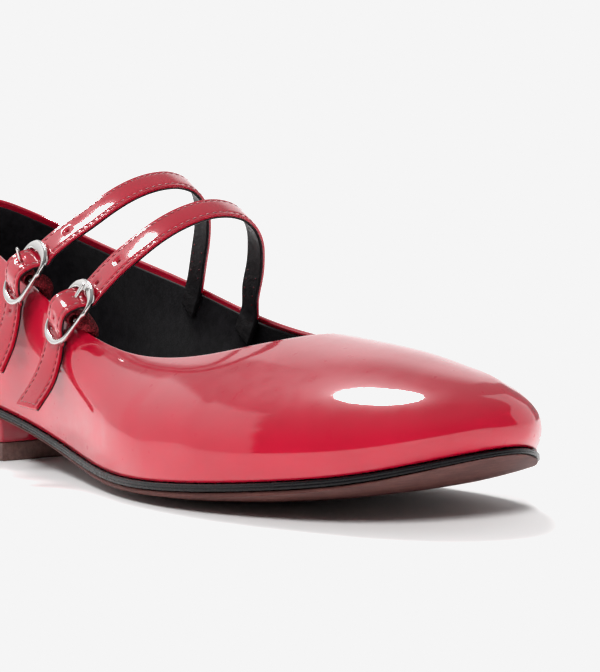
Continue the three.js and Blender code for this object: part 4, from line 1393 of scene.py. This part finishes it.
# White cloth to the left, behind and to the right: its upper outline as azimuth and elevation in degrees
TENT_SIDES = (
    {
        "outline": ((162.5, 33), (169, 37.7), (178, 42.4), (188, 46.6), (201, 49.4), (216, 50.3), (228, 45),
                    (240, 35.3), (249.5, 15.5), (252, -2)),
        "fade": 1.2, "low": 0.95, "high": 1.5,
    },
    {"outline": ((121, 43), (161.5, 43)), "fade": 8, "low": 1.4, "high": 1.4},
    {"outline": ((43, 24), (48, 30), (89, 59), (98, 60)), "fade": 1.2, "low": 1.25, "high": 1.5},
)
LIGHTS = (
    {"name": "softbox", "azimuth": 177.7, "elevation": 65.5, "distance": 1.2, "across": 0.43, "power": 62,
     "shines": "gloss"},
    {"name": "strap_lamp", "azimuth": 209, "elevation": 49, "distance": 1.2, "across": 0.19, "power": 5,
     "shines": "gloss"},
    {"name": "key", "azimuth": 282, "elevation": 56, "distance": 1.5, "across": 0.7, "power": 9.5,
     "shines": "cover"},
    {"name": "floor_lamp", "azimuth": 318, "elevation": 34, "distance": 1.5, "across": 0.35, "power": 29,
     "shines": "cover"},
    {"name": "floor_side_lamp", "azimuth": 160, "elevation": 66, "distance": 1.5, "across": 0.5, "power": 19,
     "shines": "cover"},
)
LIGHT_AIM = (0.1, -0.018, 0.031)


def way_of(azimuth, elevation):
    """Direction of an azimuth and elevation in degrees."""
    azimuth, elevation = math.radians(azimuth), math.radians(elevation)
    return np.array([
        math.cos(elevation) * math.cos(azimuth),
        math.cos(elevation) * math.sin(azimuth),
        math.sin(elevation),
    ])


def tent_glow(directions):
    """Brightness of the tent's cloth in each direction: dark in front, dim overhead, white on its sides."""
    level = np.hypot(directions[:, 0], directions[:, 1])
    azimuth = np.degrees(np.arctan2(directions[:, 1], directions[:, 0])) % 360
    elevation = np.degrees(np.arctan2(directions[:, 2], level))
    behind = np.cos(np.radians(azimuth - TENT_BEHIND))
    glow = TENT_DIM + DIM_OVERHEAD * smooth_step(elevation, 5, 70)
    glow = glow + DIM_BEHIND * smooth_step(behind, -0.4, 0.6)
    for side in TENT_SIDES:
        outline = np.array(side["outline"])
        top = np.interp(azimuth, outline[:, 0], outline[:, 1])
        start, end = outline[0, 0], outline[-1, 0]
        inside = smooth_step(azimuth, start - 1, start + 1) * (1 - smooth_step(azimuth, end - 1, end + 1))
        inside = inside * (1 - smooth_step(elevation - top, -side["fade"], side["fade"]))
        white = side["low"] + (side["high"] - side["low"]) * smooth_step(elevation, 0, 45)
        glow = glow + (white - glow) * inside
    return glow


def emission_finish(name):
    material = bpy.data.materials.new(name)
    material.use_nodes = True
    tree = material.node_tree
    tree.nodes.remove(tree.nodes["Principled BSDF"])
    glow = tree.nodes.new("ShaderNodeEmission")
    tree.links.new(glow.outputs[0], tree.nodes["Material Output"].inputs["Surface"])
    return material, glow


def stage_mesh(name, points, faces, material):
    mesh = bpy.data.meshes.new(name)
    mesh.from_pydata(np.asarray(points).tolist(), [], [list(map(int, face)) for face in faces])
    mesh.materials.append(material)
    piece = bpy.data.objects.new(name, mesh)
    bpy.context.scene.collection.objects.link(piece)
    return piece


def tent():
    """Half a ball of cloth that only mirrors and lights: the camera sees past it."""
    azimuths = np.arange(0, 360, 1.0)
    elevations = np.arange(-1.0, 90.0, 1.0)
    directions = np.array([way_of(azimuth, elevation) for elevation in elevations for azimuth in azimuths])
    directions = np.concatenate([directions, [[0, 0, 1]]])
    faces = grid_faces(len(elevations), len(azimuths)).tolist()
    last = (len(elevations) - 1) * len(azimuths)
    faces += [[last + k, last + (k + 1) % len(azimuths), len(directions) - 1] for k in range(len(azimuths))]
    material, glow = emission_finish("tent_cloth")
    piece = stage_mesh("studio_tent", directions * TENT_RADIUS, faces, material)
    shade = piece.data.attributes.new("glow", "FLOAT", "POINT")
    shade.data.foreach_set("value", tent_glow(directions).astype(np.float32))
    attribute = material.node_tree.nodes.new("ShaderNodeAttribute")
    attribute.attribute_name = "glow"
    material.node_tree.links.new(attribute.outputs["Fac"], glow.inputs["Strength"])
    material.cycles.emission_sampling = "NONE"
    piece.visible_camera = False
    piece.visible_shadow = False
    return piece


def sweep():
    """Floor: matt paper by the shoe that shades into the pale backdrop further off."""
    material = bpy.data.materials.new("sweep_paper")
    material.use_nodes = True
    tree = material.node_tree
    paper = tree.nodes["Principled BSDF"]
    paper.inputs["Base Color"].default_value = (0.8, 0.8, 0.8, 1)
    paper.inputs["Roughness"].default_value = 0.9
    paper.inputs["Specular IOR Level"].default_value = 0.1
    far = tree.nodes.new("ShaderNodeEmission")
    far.inputs["Color"].default_value = (PALE, PALE, PALE, 1)
    length = tree.nodes.new("ShaderNodeVectorMath")
    length.operation = "LENGTH"
    tree.links.new(object_place(material), length.inputs[0])
    away = tree.nodes.new("ShaderNodeMapRange")
    away.interpolation_type = "SMOOTHSTEP"
    away.inputs["From Min"].default_value = SWEEP_NEAR
    away.inputs["From Max"].default_value = SWEEP_FAR
    tree.links.new(length.outputs["Value"], away.inputs["Value"])
    blend = tree.nodes.new("ShaderNodeMixShader")
    tree.links.new(away.outputs["Result"], blend.inputs["Fac"])
    tree.links.new(paper.outputs[0], blend.inputs[1])
    tree.links.new(far.outputs[0], blend.inputs[2])
    tree.links.new(blend.outputs[0], tree.nodes["Material Output"].inputs["Surface"])
    corners = [(x * FLOOR_HALF, y * FLOOR_HALF, -FLOOR_DROP) for x, y in ((-1, -1), (1, -1), (1, 1), (-1, 1))]
    return stage_mesh("floor", corners, [(0, 1, 2, 3)], material)


def hang_light(lamp):
    """One round lamp. Those that shine as gloss are only mirrored, the others only light surfaces."""
    light = bpy.data.lights.new(lamp["name"], "AREA")
    light.shape = "DISK"
    light.size = lamp["across"]
    light.energy = lamp["power"]
    piece = bpy.data.objects.new(lamp["name"], light)
    bpy.context.scene.collection.objects.link(piece)
    way = way_of(lamp["azimuth"], lamp["elevation"])
    piece.location = Vector(way * lamp["distance"]) + Vector(LIGHT_AIM)
    piece.rotation_mode = "QUATERNION"
    piece.rotation_quaternion = Vector(way).to_track_quat("Z", "X")
    piece.visible_camera = False
    piece.visible_diffuse = lamp["shines"] == "cover"
    piece.visible_glossy = lamp["shines"] == "gloss"
    return piece


def light_only(piece, members, state):
    """Keep a lamp to some objects, or off them."""
    group = bpy.data.collections.new(f"{piece.name}_reach")
    for member in members:
        group.objects.link(member)
    piece.light_linking.receiver_collection = group
    for member in group.collection_objects:
        member.light_linking.link_state = state


tent()
sweep()
softbox, strap_lamp, key, floor_lamp, floor_side_lamp = [hang_light(lamp) for lamp in LIGHTS]
sewn_straps = [bpy.data.objects[f"strap_{run.place.strap['name']}_sewn"] for run in strap_runs]
floor = bpy.data.objects["floor"]
light_only(softbox, sewn_straps, "EXCLUDE")
light_only(strap_lamp, sewn_straps, "INCLUDE")
light_only(key, [floor], "EXCLUDE")
light_only(floor_lamp, [floor], "INCLUDE")
light_only(floor_side_lamp, [floor], "INCLUDE")
world = bpy.data.worlds.new("studio")
world.use_nodes = True
world.node_tree.nodes["Background"].inputs["Color"].default_value = (PALE, PALE, PALE, 1)
bpy.context.scene.world = world

# The photo's own tones: no film curve, and its brightest white is a pale grey
view = bpy.context.scene.view_settings
view.view_transform = "Standard"
view.use_curve_mapping = True
view.curve_mapping.extend = "HORIZONTAL"
view.curve_mapping.curves[3].points[1].location = (1.0, PHOTO_WHITE)
view.curve_mapping.update()
